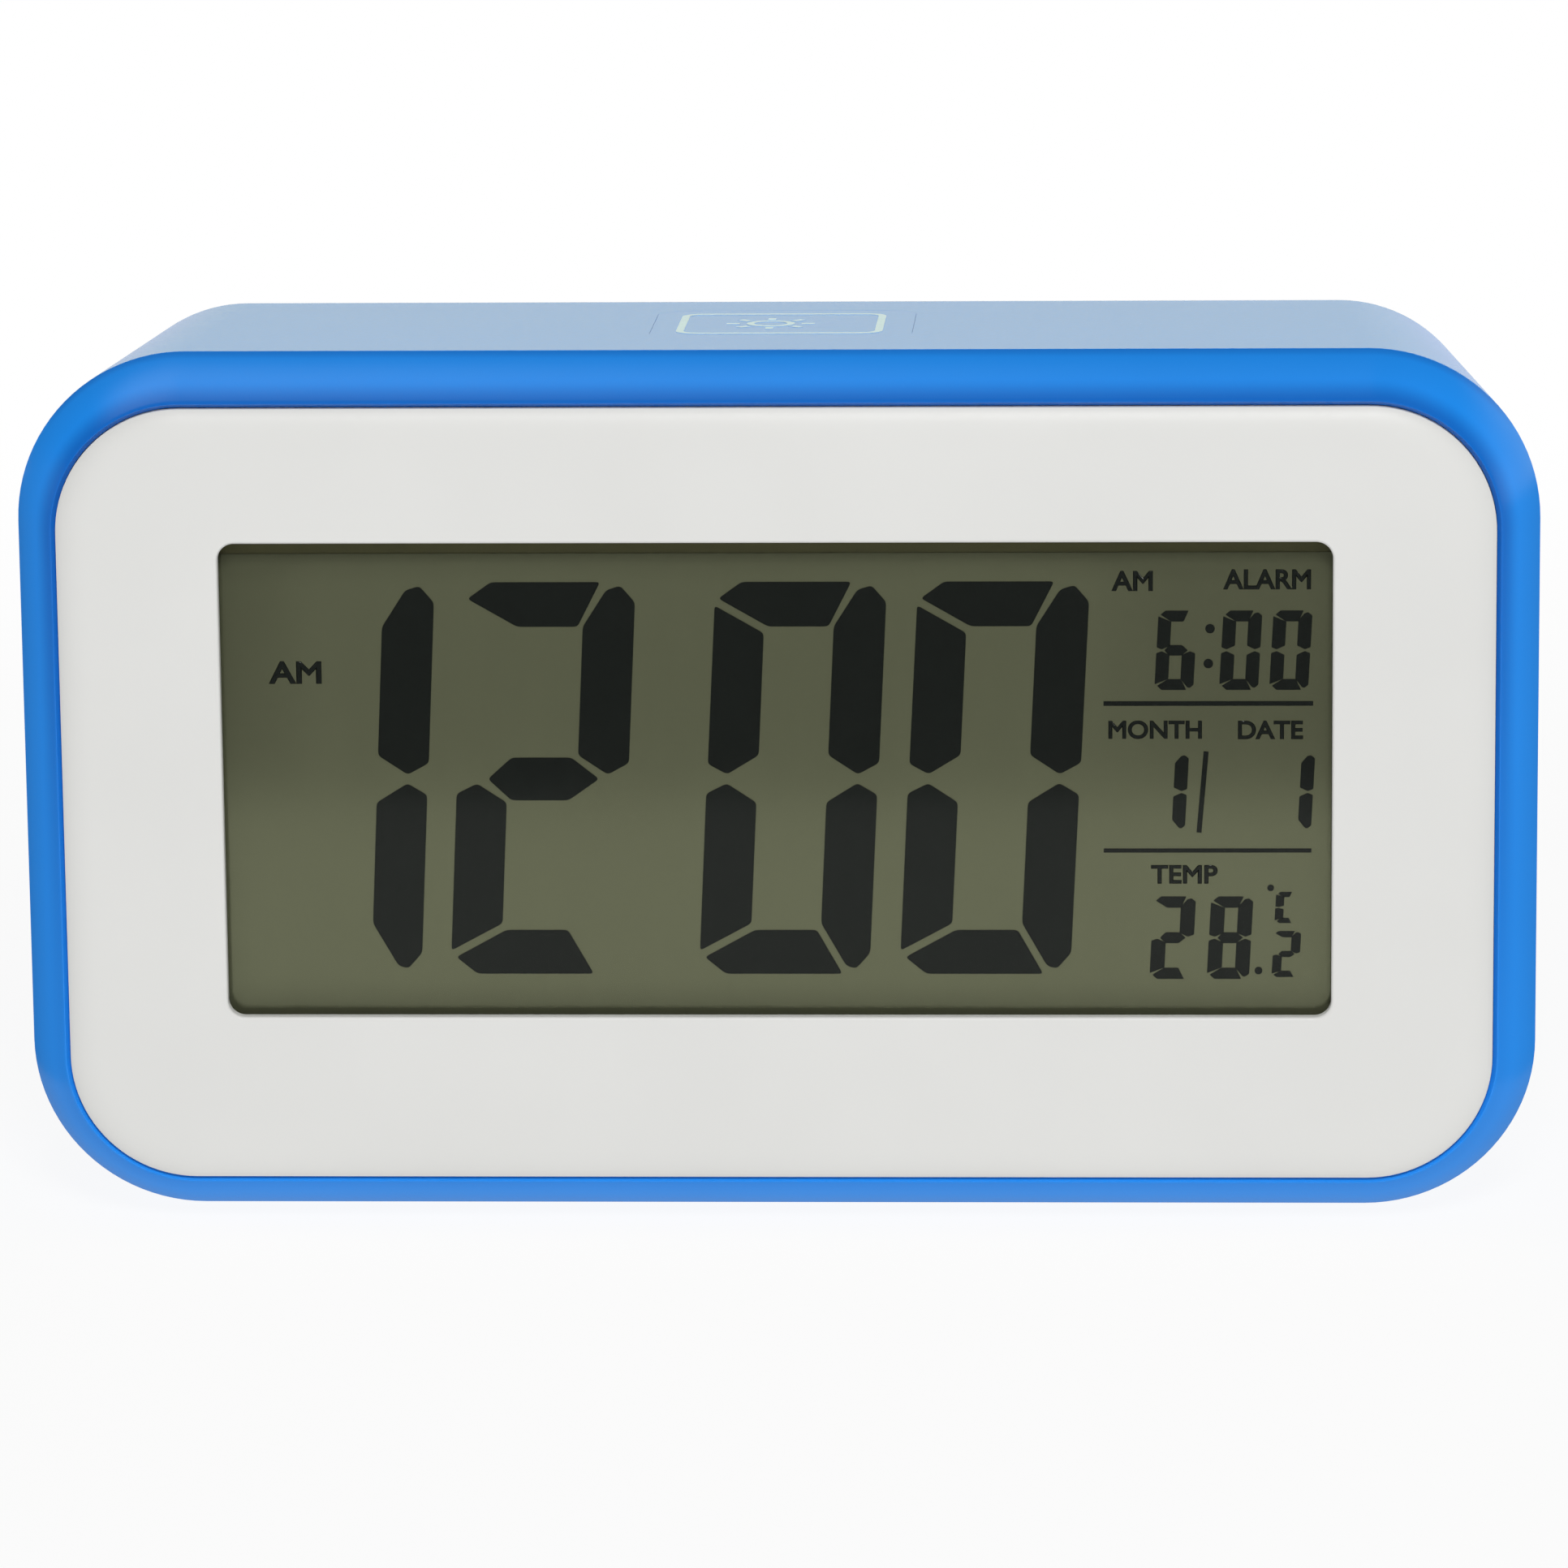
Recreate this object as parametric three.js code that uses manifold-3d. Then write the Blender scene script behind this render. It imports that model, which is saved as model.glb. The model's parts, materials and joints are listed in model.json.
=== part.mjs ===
// Digital alarm clock: a table clock with a liquid crystal display, push keys and three cells.
// Millimetres. X runs to the right seen from the front, Y runs backwards and Z runs up.
// Pieces are drawn with Y counted from the front face. The finished group is then moved so that
// the origin lies on the table, under the middle of the clock.

import * as THREE from 'three';
import { mergeVertices } from 'three/addons/utils/BufferGeometryUtils.js';
import Module from 'manifold-3d';

const wasm = await Module();
wasm.setup();

// Driving dimensions: the body
const BODY_WIDTH = 135;
const BODY_HEIGHT = 78;
const BODY_DEPTH = 46;
const CORNER_RADIUS = 15.2;
const TOP_TAPER = 2; // the top draws in by this much towards the back
const SIDE_TAPER = 3.8; // and each side by this much
const REAR_EDGE_RADIUS = 2.5;
const WALL = 2;

// Driving dimensions: the bevelled ring around the front
const RIM_WIDTH = 4;
const RIM_DEPTH = 6.9; // from the front face back to the crest of the bevel
const RIM_CROWN = 0.25; // how far the bevel bulges over its chord
const RIM_LAND = 0.4; // flat land along the inner edge
const RIM_SHELF = 1.6; // shelf inside the ring that the front panel sits on
const RIM_SHELF_THICKNESS = 1.8;
const RIM_TONGUE = 3; // tongue that plugs into the rear case

// Driving dimensions: the white front panel and its window
const PANEL = 2.2;
const PANEL_EDGE_WIDTH = 2.8;
const PANEL_EDGE_DROP = 0.8;
const SKIRT_WALL = 1.5;
const SKIRT_DEPTH = 9;
const WINDOW_SIDE = 14.4; // white margin left and right of the window
const WINDOW_ABOVE = 12;
const WINDOW_BELOW = 15;
const WINDOW_RADIUS = 1.5;
const WINDOW_LIP = 1;
const LENS_LAP = 1.6;
const LENS = 1;

// Driving dimensions: the display and the main board
const DISPLAY_LAP = 2.4;
const GLASS = 1.1;
const CONTACT_LEDGE = 2.2;
const ELASTOMER_SHORTER = 1.5; // each rubber contact strip stops this far inside the glass end
const GUIDE = 3;
const REFLECTOR = 0.4;
const LED_DEPTH = 1.4;
const LED_WIDTH = 3.5;
const LED_HEIGHT = 3;
const FRAME_WALL = 1.5;
const FRAME_PIN_RADIUS = 0.5;
const FRAME_PIN_SPREAD = 30;
const FRAME_PIN_PROUD = 0.4;
const BOARD = 1.6;
const BOARD_SCREW_SPREAD = 14;
const BOARD_BOSS_RADIUS = 2.4;
const CHIP_RADIUS = 7;
const CHIP_HEIGHT = 1.8;
const CRYSTAL_RADIUS = 1;
const CRYSTAL_LENGTH = 6.2;
const BEAD_RADIUS = 1.2;
const BEAD_LEG_RADIUS = 0.3;
const BEAD_LEG_LENGTH = 4;
const BEAD_LEG_SPREAD = 0.7;

// Driving dimensions: screws, with radii of the head, its flat top and the shank
const HOUSING_SCREW = { head: 2.5, top: 1.8, height: 1.8, shank: 1.3, length: 14 };
const BOARD_SCREW = { head: 2.1, top: 1.5, height: 1.4, shank: 0.9, length: 6 };
const CROSS_WIDTH = 0.7;
const CROSS_DEPTH = 0.8;
const CROSS_REACH = 1.3; // from the middle of the head
const HOUSING_BOSS_RADIUS = 3.2;
const HOUSING_BOSS_LENGTH = 18.5;
const POST_INSET = 11; // from the body's sides, top and underside
const POST_RADIUS = 4.2;
const POST_FLOOR = 2;

// Driving dimensions: cells, their bay and its door
const CELL_COUNT = 3;
const CELL_RADIUS = 5.25;
const CELL_LENGTH = 44.5;
const CELL_NUB_RADIUS = 1.9;
const CELL_NUB_LENGTH = 1;
const CELL_EDGE = 0.5;
const CELL_PITCH = 10.9;
const BAY_RISE = 11; // from the underside of the body
const BAY_WALL = 1.5;
const DOOR = 1.8;
const DOOR_LAP = 3;
const DOOR_RADIUS = 2;
const LEDGE_PLATE = 1.6;
const HOOK_SPREAD = 15;
const HOOK_WIDTH = 6;
const HOOK_DROP = 1.8;
const HOOK_THICKNESS = 1.4;
const HOOK_LIP = 1.2; // lip of the case that each hook catches behind
const HOOK_ROOT = 1;
const LATCH_WIDTH = 11;
const LATCH_LENGTH = 9;
const LATCH_SLIT = 0.7;
const LATCH_NIB = 0.8;
const LATCH_GROOVE = 0.5;
const LATCH_GROOVES = 3;
const CONTACT = 0.4;
const CONTACT_SIZE = 8;
const CONTACT_TAB = 3;
const CONTACT_TAB_REACH = 2.5;
const SPRING_LENGTH = 4.4;
const SPRING_WIRE_RADIUS = 0.35;
const SPRING_BASE_RADIUS = 3.5;
const SPRING_TIP_RADIUS = 2.3;
const SPRING_TURNS = 3;

// Driving dimensions: keys, switches and their boards
const BUTTON_RADIUS = 3.5;
const BUTTON_PROUD = 0.8;
const BUTTON_EDGE = 0.5;
const BUTTON_FLANGE = 1.1; // how far the flange reaches past the button
const FLANGE_THICKNESS = 1;
const BUTTON_STEM = 2;
const STEM_RADIUS = 1.4;
const BUTTON_TRAVEL = 0.5;
const CONTROL_PITCH = 16;
const SLIDE_PITCH = 20; // from the last button to the slide switch
const SLIDE_TRAVEL = 4;
const GRIP_WIDTH = 4;
const GRIP_HEIGHT = 3.4;
const GRIP_GROOVE = 0.4;
const GRIP_GROOVES = 3;
const SLIDE_PLATE_HEIGHT = 6.4;
const SLIDE_LEG = 1.6;
const SLIDE_LEG_REACH = 2;
const SLIDE_BODY_WIDTH = 10;
const SLIDE_BODY_HEIGHT = 4.6;
const SWITCH_SIZE = 6;
const SWITCH_HEIGHT = 3.4;
const PLUNGER_RADIUS = 1.7;
const PLUNGER = 0.8;
const KEY_BOARD_HEIGHT = 14;
const KEY_BOARD_END = 8;
const SNOOZE_WIDTH = 23;
const SNOOZE_DEPTH = 19.5;
const SNOOZE_RADIUS = 2.5;
const SNOOZE_FLANGE = 1.2;
const SNOOZE_FLANGE_THICKNESS = 1.6;
const SNOOZE_STEM = 1.5;
const SNOOZE_TRAVEL = 0.8;
const SNOOZE_BOARD_DEPTH = 15;
const SNOOZE_BOARD_END = 3.5;
const SMALL_BOSS_RADIUS = 2.3;
const RIBBON_WIDTH = 10;
const RIBBON = 0.6;
const RIBBON_SAG = 8;
const LEAD_RADIUS = 0.6;
const LEAD_SPREAD = 5; // how far each lead runs sideways on its way to the main board
const LEAD_CLIMB = 6;

// Driving dimensions: buzzer, openings in the back and feet
const BUZZER_RADIUS = 13.5;
const BUZZER_PLATE = 0.3;
const BUZZER_ELEMENT_RADIUS = 9.5;
const BUZZER_SEAT_HEIGHT = 1.5;
const BUZZER_SEAT_WALL = 1.5;
const SOUND_HOLE_RADIUS = 1;
const SOUND_HOLE_CIRCLE = 5;
const SOUND_HOLES = 6;
const VENT_WIDTH = 14;
const VENT_HEIGHT = 1.5;
const VENT_PITCH = 3.4;
const VENTS = 4;
const FOOT_RADIUS = 4;
const FOOT_STAND = 0.6; // how far the feet hold the body off the table
const FOOT_SEAT = 0.6;
const FOOT_SIDE = 20;
const FOOT_END = 7;

// Clearances
const SEAT = 0.1; // between faces that bear on each other
const FIT = 0.2; // around pieces that plug into each other
const PLAY = 0.3; // around pieces that move

// Facets
const CORNER_FACETS = 5;
const SMALL_CORNER_FACETS = 2;
const BEVEL_FACETS = 6;
const EDGE_FACETS = 4;
const ROUND_FACETS = 20;
const SMALL_FACETS = 12;
const SPRING_FACETS = 8;
const WIRE_SIDES = 5;

// Places that follow from the driving dimensions: the body and the front
const underside = FOOT_STAND;
const topside = underside + BODY_HEIGHT;
const rearInside = BODY_DEPTH - WALL;
const panelEdge = RIM_WIDTH + FIT;
const skirtOuter = RIM_WIDTH + RIM_SHELF + FIT;
const skirtInner = skirtOuter + SKIRT_WALL;
const windowHalf = BODY_WIDTH / 2 - RIM_WIDTH - WINDOW_SIDE;
const windowLow = underside + RIM_WIDTH + WINDOW_BELOW;
const windowHigh = topside - RIM_WIDTH - WINDOW_ABOVE;
const windowMiddle = (windowLow + windowHigh) / 2;

// The display stack, from the panel backwards
const lensFront = WINDOW_LIP + SEAT;
const lensBack = lensFront + LENS;
const panelBack = Math.max(PANEL, lensBack + SEAT);
const displayFront = panelBack + SEAT;
const displayStep = displayFront + GLASS;
const displayBack = displayStep + GLASS;
const guideFront = displayBack + SEAT;
const guideBack = guideFront + GUIDE;
const reflectorFront = guideBack + SEAT;
const reflectorBack = reflectorFront + REFLECTOR;
const boardFront = reflectorBack + SEAT;
const boardBack = boardFront + BOARD;
const displayHalf = windowHalf + DISPLAY_LAP;
const displayLow = windowLow - DISPLAY_LAP;
const displayHigh = windowHigh + DISPLAY_LAP;
const guideHalf = displayHalf - LED_DEPTH - 2 * FIT;
const frameHalf = displayHalf + FIT + FRAME_WALL;
const frameLow = displayLow - FIT - FRAME_WALL;
const frameHigh = displayHigh + FIT + FRAME_WALL;
const boardHalf = BODY_WIDTH / 2 - skirtInner - PLAY;
const boardBossX = (frameHalf + boardHalf) / 2;
const boardBossHeights = [windowMiddle - BOARD_SCREW_SPREAD, windowMiddle + BOARD_SCREW_SPREAD];
const boardBosses = mirrored(boardBossX, boardBossHeights);

// The housing screws and the posts that they run through
const postX = BODY_WIDTH / 2 - POST_INSET;
const posts = mirrored(postX, [underside + POST_INSET, topside - POST_INSET]);
const bossBack = panelBack + HOUSING_BOSS_LENGTH;
const postFront = bossBack + SEAT;
const housingSeat = postFront + POST_FLOOR + SEAT;

// The cell bay and its door
const doorFront = BODY_DEPTH - DOOR;
const ledge = doorFront - SEAT;
const cellY = ledge - PLAY - CELL_RADIUS;
const bayFloor = cellY - CELL_RADIUS - PLAY;
const bayLow = underside + BAY_RISE;
const bayHigh = bayLow + CELL_COUNT * CELL_PITCH;
const bayMiddle = (bayLow + bayHigh) / 2;
const bayHalf = (CELL_LENGTH + SPRING_LENGTH) / 2 + CONTACT + 2 * SEAT;
const contactInner = bayHalf - SEAT - CONTACT;
const doorHalf = bayHalf + DOOR_LAP;
const doorLow = bayLow - DOOR_LAP;
const doorHigh = bayHigh + DOOR_LAP;
const hookBack = BODY_DEPTH - HOOK_LIP - PLAY;
const hookFront = hookBack - HOOK_THICKNESS;

// The key board, from the back wall forwards
const flangeBack = rearInside - SEAT;
const flangeFront = flangeBack - FLANGE_THICKNESS;
const stemTip = flangeFront - BUTTON_STEM;
const switchBack = stemTip - BUTTON_TRAVEL - SEAT - PLUNGER;
const keyBoardBack = switchBack - SWITCH_HEIGHT - SEAT;
const keyBoardFront = keyBoardBack - BOARD;
const flangeRadius = BUTTON_RADIUS + BUTTON_FLANGE;
const controlZ = (doorHigh + topside - TOP_TAPER - REAR_EDGE_RADIUS) / 2;
const buttonNames = ['mode', 'set', 'up', 'down'];
const firstButtonX = CONTROL_PITCH * buttonNames.length / 2;
const buttonPlaces = buttonNames.map((name, i) => ({ name, x: firstButtonX - i * CONTROL_PITCH }));
const lastButtonX = buttonPlaces[buttonPlaces.length - 1].x;
const slideX = lastButtonX - SLIDE_PITCH;
const gripX = slideX - SLIDE_TRAVEL / 2;
const slidePlateHalf = GRIP_WIDTH / 2 + SLIDE_TRAVEL + 2 * PLAY;
const slideReach = slidePlateHalf + SLIDE_TRAVEL / 2;
const keyBossPlaces = [
  { x: firstButtonX - CONTROL_PITCH / 2, z: controlZ },
  { x: (lastButtonX - flangeRadius + slideX + slideReach) / 2, z: controlZ },
];

// The snooze key in the top, from the top wall downwards
const snoozeY = keyBoardFront - PLAY - SNOOZE_BOARD_DEPTH / 2;
const snoozeFlangeLow = topside - TOP_TAPER - WALL - SNOOZE_FLANGE_THICKNESS;
const snoozeTip = snoozeFlangeLow - SNOOZE_STEM;
const snoozeSwitchTop = snoozeTip - SNOOZE_TRAVEL - SEAT - PLUNGER;
const snoozeBoardTop = snoozeSwitchTop - SWITCH_HEIGHT - SEAT;
const snoozeBoardLow = snoozeBoardTop - BOARD;
const snoozeBossX = SNOOZE_WIDTH / 2 + SNOOZE_FLANGE + SMALL_BOSS_RADIUS + 2 * PLAY;

// The buzzer and the vents lie left and right of the cell bay
const sideX = (bayHalf + BAY_WALL + BODY_WIDTH / 2 - SIDE_TAPER - WALL) / 2;

const overallDepth = BODY_DEPTH + BUTTON_PROUD;

// Four places, mirrored left and right at each of the given heights
function mirrored(x, heights) {
  return heights.flatMap((z) => [{ x: -x, z }, { x, z }]);
}

// Solids from three.js geometry, and back again after cutting and joining

function solid(geometry) {
  const bare = new THREE.BufferGeometry();
  bare.setAttribute('position', geometry.getAttribute('position'));
  bare.setIndex(geometry.getIndex());
  const merged = mergeVertices(bare);
  const mesh = new wasm.Mesh({
    numProp: 3,
    vertProperties: Float32Array.from(merged.getAttribute('position').array),
    triVerts: Uint32Array.from(merged.getIndex().array),
  });
  return new wasm.Manifold(mesh);
}

function geometryOf(form) {
  const mesh = form.getMesh();
  const geometry = new THREE.BufferGeometry();
  geometry.setAttribute('position', new THREE.BufferAttribute(mesh.vertProperties, mesh.numProp));
  geometry.setIndex(new THREE.BufferAttribute(mesh.triVerts, 1));
  const faceted = geometry.toNonIndexed();
  faceted.computeVertexNormals();
  return faceted;
}

function join(...forms) {
  return forms.flat().reduce((whole, form) => whole.add(form));
}

function cut(form, ...tools) {
  return tools.flat().reduce((rest, tool) => rest.subtract(tool), form);
}

// A closed skin over rings of points, each ring turning left seen along the row
function skin(rings) {
  const count = rings[0].length;
  const index = [];
  for (let ring = 0; ring < rings.length - 1; ring += 1) {
    for (let i = 0; i < count; i += 1) {
      const here = ring * count + i;
      const next = ring * count + ((i + 1) % count);
      index.push(here, here + count, next, next, here + count, next + count);
    }
  }
  const last = (rings.length - 1) * count;
  for (let i = 1; i < count - 1; i += 1) {
    index.push(0, i, i + 1, last, last + i + 1, last + i);
  }
  const geometry = new THREE.BufferGeometry().setFromPoints(rings.flat());
  geometry.setIndex(index);
  return solid(geometry);
}

// A solid through outlines that lie one behind the other along Y
function loft(sections, facets = CORNER_FACETS) {
  return skin(sections.map(({ outline, y }) => (
    outline.getPoints(facets).map((point) => new THREE.Vector3(point.x, y, point.y))
  )));
}

function slab(outline, front, back, facets = CORNER_FACETS) {
  return loft([{ outline, y: front }, { outline, y: back }], facets);
}

function block(left, right, front, back, low, high) {
  const box = new THREE.BoxGeometry(right - left, back - front, high - low);
  return solid(box.translate((left + right) / 2, (front + back) / 2, (low + high) / 2));
}

// Round bars along Y, along Z and along X
function rod(place, radius, front, back, facets = SMALL_FACETS) {
  const bar = new THREE.CylinderGeometry(radius, radius, back - front, facets);
  return solid(bar.translate(place.x, (front + back) / 2, place.z));
}

function pillar(place, radius, low, high, facets = SMALL_FACETS) {
  const bar = new THREE.CylinderGeometry(radius, radius, high - low, facets).rotateX(Math.PI / 2);
  return solid(bar.translate(place.x, place.y, (low + high) / 2));
}

function axle(place, radius, left, right, facets = ROUND_FACETS) {
  const bar = new THREE.CylinderGeometry(radius, radius, right - left, facets).rotateZ(Math.PI / 2);
  return solid(bar.translate((left + right) / 2, place.y, place.z));
}

function roundedRectangle(left, right, low, high, radius) {
  const quarter = Math.PI / 2;
  const outline = new THREE.Shape();
  outline.absarc(right - radius, low + radius, radius, -quarter, 0);
  outline.absarc(right - radius, high - radius, radius, 0, quarter);
  outline.absarc(left + radius, high - radius, radius, quarter, 2 * quarter);
  outline.absarc(left + radius, low + radius, radius, 2 * quarter, 3 * quarter);
  return outline;
}

// The body's outline at the front, drawn in all round by the inset
function bodyOutline(inset) {
  const half = BODY_WIDTH / 2 - inset;
  return roundedRectangle(-half, half, underside + inset, topside - inset, CORNER_RADIUS - inset);
}

// The body's outline at the back, where the taper has drawn in the top and the sides
function backOutline(inset) {
  const half = BODY_WIDTH / 2 - SIDE_TAPER - inset;
  const high = topside - TOP_TAPER - inset;
  return roundedRectangle(-half, half, underside + inset, high, CORNER_RADIUS - TOP_TAPER - inset);
}

// Plates of the window's and of the door's outline, grown all round
function windowSlab(grow, front, back) {
  const half = windowHalf + grow;
  const outline = roundedRectangle(-half, half, windowLow - grow, windowHigh + grow, WINDOW_RADIUS);
  return slab(outline, front, back, SMALL_CORNER_FACETS);
}

function doorSlab(grow, front, back) {
  const half = doorHalf + grow;
  const outline = roundedRectangle(-half, half, doorLow - grow, doorHigh + grow, DOOR_RADIUS);
  return slab(outline, front, back, SMALL_CORNER_FACETS);
}

// A profile turned about the Y axis. It runs from its low end on the axis to its high end.
function turned(profile, facets = SMALL_FACETS) {
  const points = profile.map(([radius, y]) => new THREE.Vector2(radius, y));
  return solid(new THREE.LatheGeometry(points, facets));
}

// Housing

// Outside of the rear case, and the room inside it
function caseForm() {
  const sections = [{ outline: bodyOutline(0), y: RIM_DEPTH + SEAT }];
  for (let step = 0; step <= EDGE_FACETS; step += 1) {
    const angle = (step / EDGE_FACETS) * (Math.PI / 2);
    const drawn = REAR_EDGE_RADIUS * (1 - Math.cos(angle));
    const y = BODY_DEPTH - REAR_EDGE_RADIUS * (1 - Math.sin(angle));
    sections.push({ outline: backOutline(drawn), y });
  }
  return loft(sections);
}

function caseRoom() {
  return loft([
    { outline: bodyOutline(WALL), y: RIM_DEPTH },
    { outline: backOutline(WALL), y: rearInside },
  ]);
}

function footPlaces() {
  const x = BODY_WIDTH / 2 - FOOT_SIDE;
  const front = RIM_DEPTH + FOOT_END;
  const rear = BODY_DEPTH - FOOT_END;
  return [
    { name: 'foot_front_left', x: -x, y: front },
    { name: 'foot_front_right', x, y: front },
    { name: 'foot_rear_left', x: -x, y: rear },
    { name: 'foot_rear_right', x, y: rear },
  ];
}

// Upright prism of the snooze key's outline, grown all round
function snoozePrism(grow, low, high) {
  const half = SNOOZE_WIDTH / 2 + grow;
  const reach = SNOOZE_DEPTH / 2 + grow;
  const outline = roundedRectangle(-half, half, snoozeY - reach, snoozeY + reach, SNOOZE_RADIUS + grow);
  const prism = new THREE.ExtrudeGeometry(outline, {
    depth: high - low,
    bevelEnabled: false,
    curveSegments: EDGE_FACETS,
  });
  return solid(prism.translate(0, 0, low));
}

// Sweep of the door hooks, kept behind the lip that they catch on
function hookPocket(x) {
  const reach = Math.hypot(BODY_DEPTH - hookFront, HOOK_DROP) + PLAY;
  const half = HOOK_WIDTH / 2 + PLAY;
  const sweep = axle({ y: BODY_DEPTH, z: doorLow }, reach, x - half, x + half);
  const behindLip = block(
    x - half - PLAY,
    x + half + PLAY,
    BODY_DEPTH - 2 * reach,
    BODY_DEPTH - HOOK_LIP,
    doorLow - 2 * reach,
    doorLow + 2 * reach,
  );
  return sweep.intersect(behindLip);
}

function contactSlot(side, z) {
  const inner = side * (contactInner - FIT);
  const outer = side * (contactInner + CONTACT + FIT);
  const half = CONTACT_TAB / 2 + FIT;
  const [left, right] = [Math.min(inner, outer), Math.max(inner, outer)];
  return block(left, right, bayFloor - 2 * BAY_WALL, bayFloor + SEAT, z - half, z + half);
}

function cellZ(i) {
  return bayLow + (i + 0.5) * CELL_PITCH;
}

function rearCase() {
  const outside = caseForm();
  const bayBox = block(
    -bayHalf - BAY_WALL,
    bayHalf + BAY_WALL,
    bayFloor - BAY_WALL,
    rearInside + SEAT,
    bayLow - BAY_WALL,
    bayHigh + BAY_WALL,
  );
  const ledgePlate = doorSlab(BAY_WALL, ledge - LEDGE_PLATE, rearInside + SEAT);
  const screwPosts = posts.map((place) => rod(place, POST_RADIUS, postFront, rearInside + SEAT));
  const keyBosses = keyBossPlaces.map((place) => (
    rod(place, SMALL_BOSS_RADIUS, keyBoardBack + SEAT, rearInside + SEAT)
  ));
  const snoozeBosses = [-snoozeBossX, snoozeBossX].map((x) => (
    pillar({ x, y: snoozeY }, SMALL_BOSS_RADIUS, snoozeBoardTop + SEAT, topside)
  ));
  const buzzerPlace = { x: sideX, z: bayMiddle };
  const buzzerSeat = cut(
    rod(buzzerPlace, BUZZER_RADIUS, rearInside - BUZZER_SEAT_HEIGHT, rearInside + SEAT, ROUND_FACETS),
    rod(buzzerPlace, BUZZER_RADIUS - BUZZER_SEAT_WALL, 0, BODY_DEPTH, ROUND_FACETS),
  );
  const fittings = join(bayBox, ledgePlate, screwPosts, keyBosses, snoozeBosses, buzzerSeat);
  const body = join(cut(outside, caseRoom()), fittings.intersect(outside));
  return cut(body, bayCuts(), screwCuts(), controlCuts(), soundCuts(), footCuts());
}

function bayCuts() {
  const nibHalf = LATCH_WIDTH / 2 + PLAY;
  return [
    doorSlab(PLAY, ledge, BODY_DEPTH + WALL),
    block(-bayHalf, bayHalf, bayFloor, BODY_DEPTH, bayLow, bayHigh),
    block(-nibHalf, nibHalf, ledge, BODY_DEPTH + WALL, bayHigh, doorHigh + LATCH_NIB + PLAY),
    hookPocket(-HOOK_SPREAD),
    hookPocket(HOOK_SPREAD),
    contactSlot(1, cellZ(CELL_COUNT - 1)),
    contactSlot(-1, cellZ(0)),
  ];
}

function screwCuts() {
  const outer = posts.flatMap((place) => [
    rod(place, HOUSING_SCREW.shank + PLAY, 0, BODY_DEPTH),
    rod(place, HOUSING_SCREW.head + PLAY, postFront + POST_FLOOR, BODY_DEPTH + WALL),
  ]);
  const pilot = BOARD_SCREW.shank + SEAT;
  const keyEnd = keyBoardFront + BOARD_SCREW.length + SEAT;
  const keyPilots = keyBossPlaces.map((place) => rod(place, pilot, 0, keyEnd));
  const snoozeEnd = snoozeBoardLow + BOARD_SCREW.length + SEAT;
  const snoozePilots = [-snoozeBossX, snoozeBossX].map((x) => (
    pillar({ x, y: snoozeY }, pilot, snoozeBoardLow, snoozeEnd)
  ));
  return [...outer, ...keyPilots, ...snoozePilots];
}

function controlCuts() {
  const slotHalf = (GRIP_WIDTH + SLIDE_TRAVEL) / 2 + PLAY;
  const slotRise = GRIP_HEIGHT / 2 + PLAY;
  const buttonHoles = buttonPlaces.map(({ x }) => (
    rod({ x, z: controlZ }, BUTTON_RADIUS + PLAY, rearInside - SEAT, BODY_DEPTH + WALL, ROUND_FACETS)
  ));
  return [
    ...buttonHoles,
    block(
      slideX - slotHalf,
      slideX + slotHalf,
      rearInside - SEAT,
      BODY_DEPTH + WALL,
      controlZ - slotRise,
      controlZ + slotRise,
    ),
    snoozePrism(PLAY, snoozeFlangeLow, topside + WALL),
  ];
}

function soundCuts() {
  const holes = [rod({ x: sideX, z: bayMiddle }, SOUND_HOLE_RADIUS, rearInside - SEAT, BODY_DEPTH + WALL)];
  for (let i = 0; i < SOUND_HOLES; i += 1) {
    const angle = (i / SOUND_HOLES) * 2 * Math.PI;
    const x = sideX + SOUND_HOLE_CIRCLE * Math.cos(angle);
    const z = bayMiddle + SOUND_HOLE_CIRCLE * Math.sin(angle);
    holes.push(rod({ x, z }, SOUND_HOLE_RADIUS, rearInside - SEAT, BODY_DEPTH + WALL));
  }
  for (let i = 0; i < VENTS; i += 1) {
    const z = bayMiddle + (i - (VENTS - 1) / 2) * VENT_PITCH;
    const slot = roundedRectangle(
      -sideX - VENT_WIDTH / 2,
      -sideX + VENT_WIDTH / 2,
      z - VENT_HEIGHT / 2,
      z + VENT_HEIGHT / 2,
      VENT_HEIGHT / 2 - SEAT,
    );
    holes.push(slab(slot, rearInside - SEAT, BODY_DEPTH + WALL, SMALL_CORNER_FACETS));
  }
  return holes;
}

function footCuts() {
  return footPlaces().map((place) => (
    pillar(place, FOOT_RADIUS + FIT, 0, underside + FOOT_SEAT, ROUND_FACETS)
  ));
}

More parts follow.
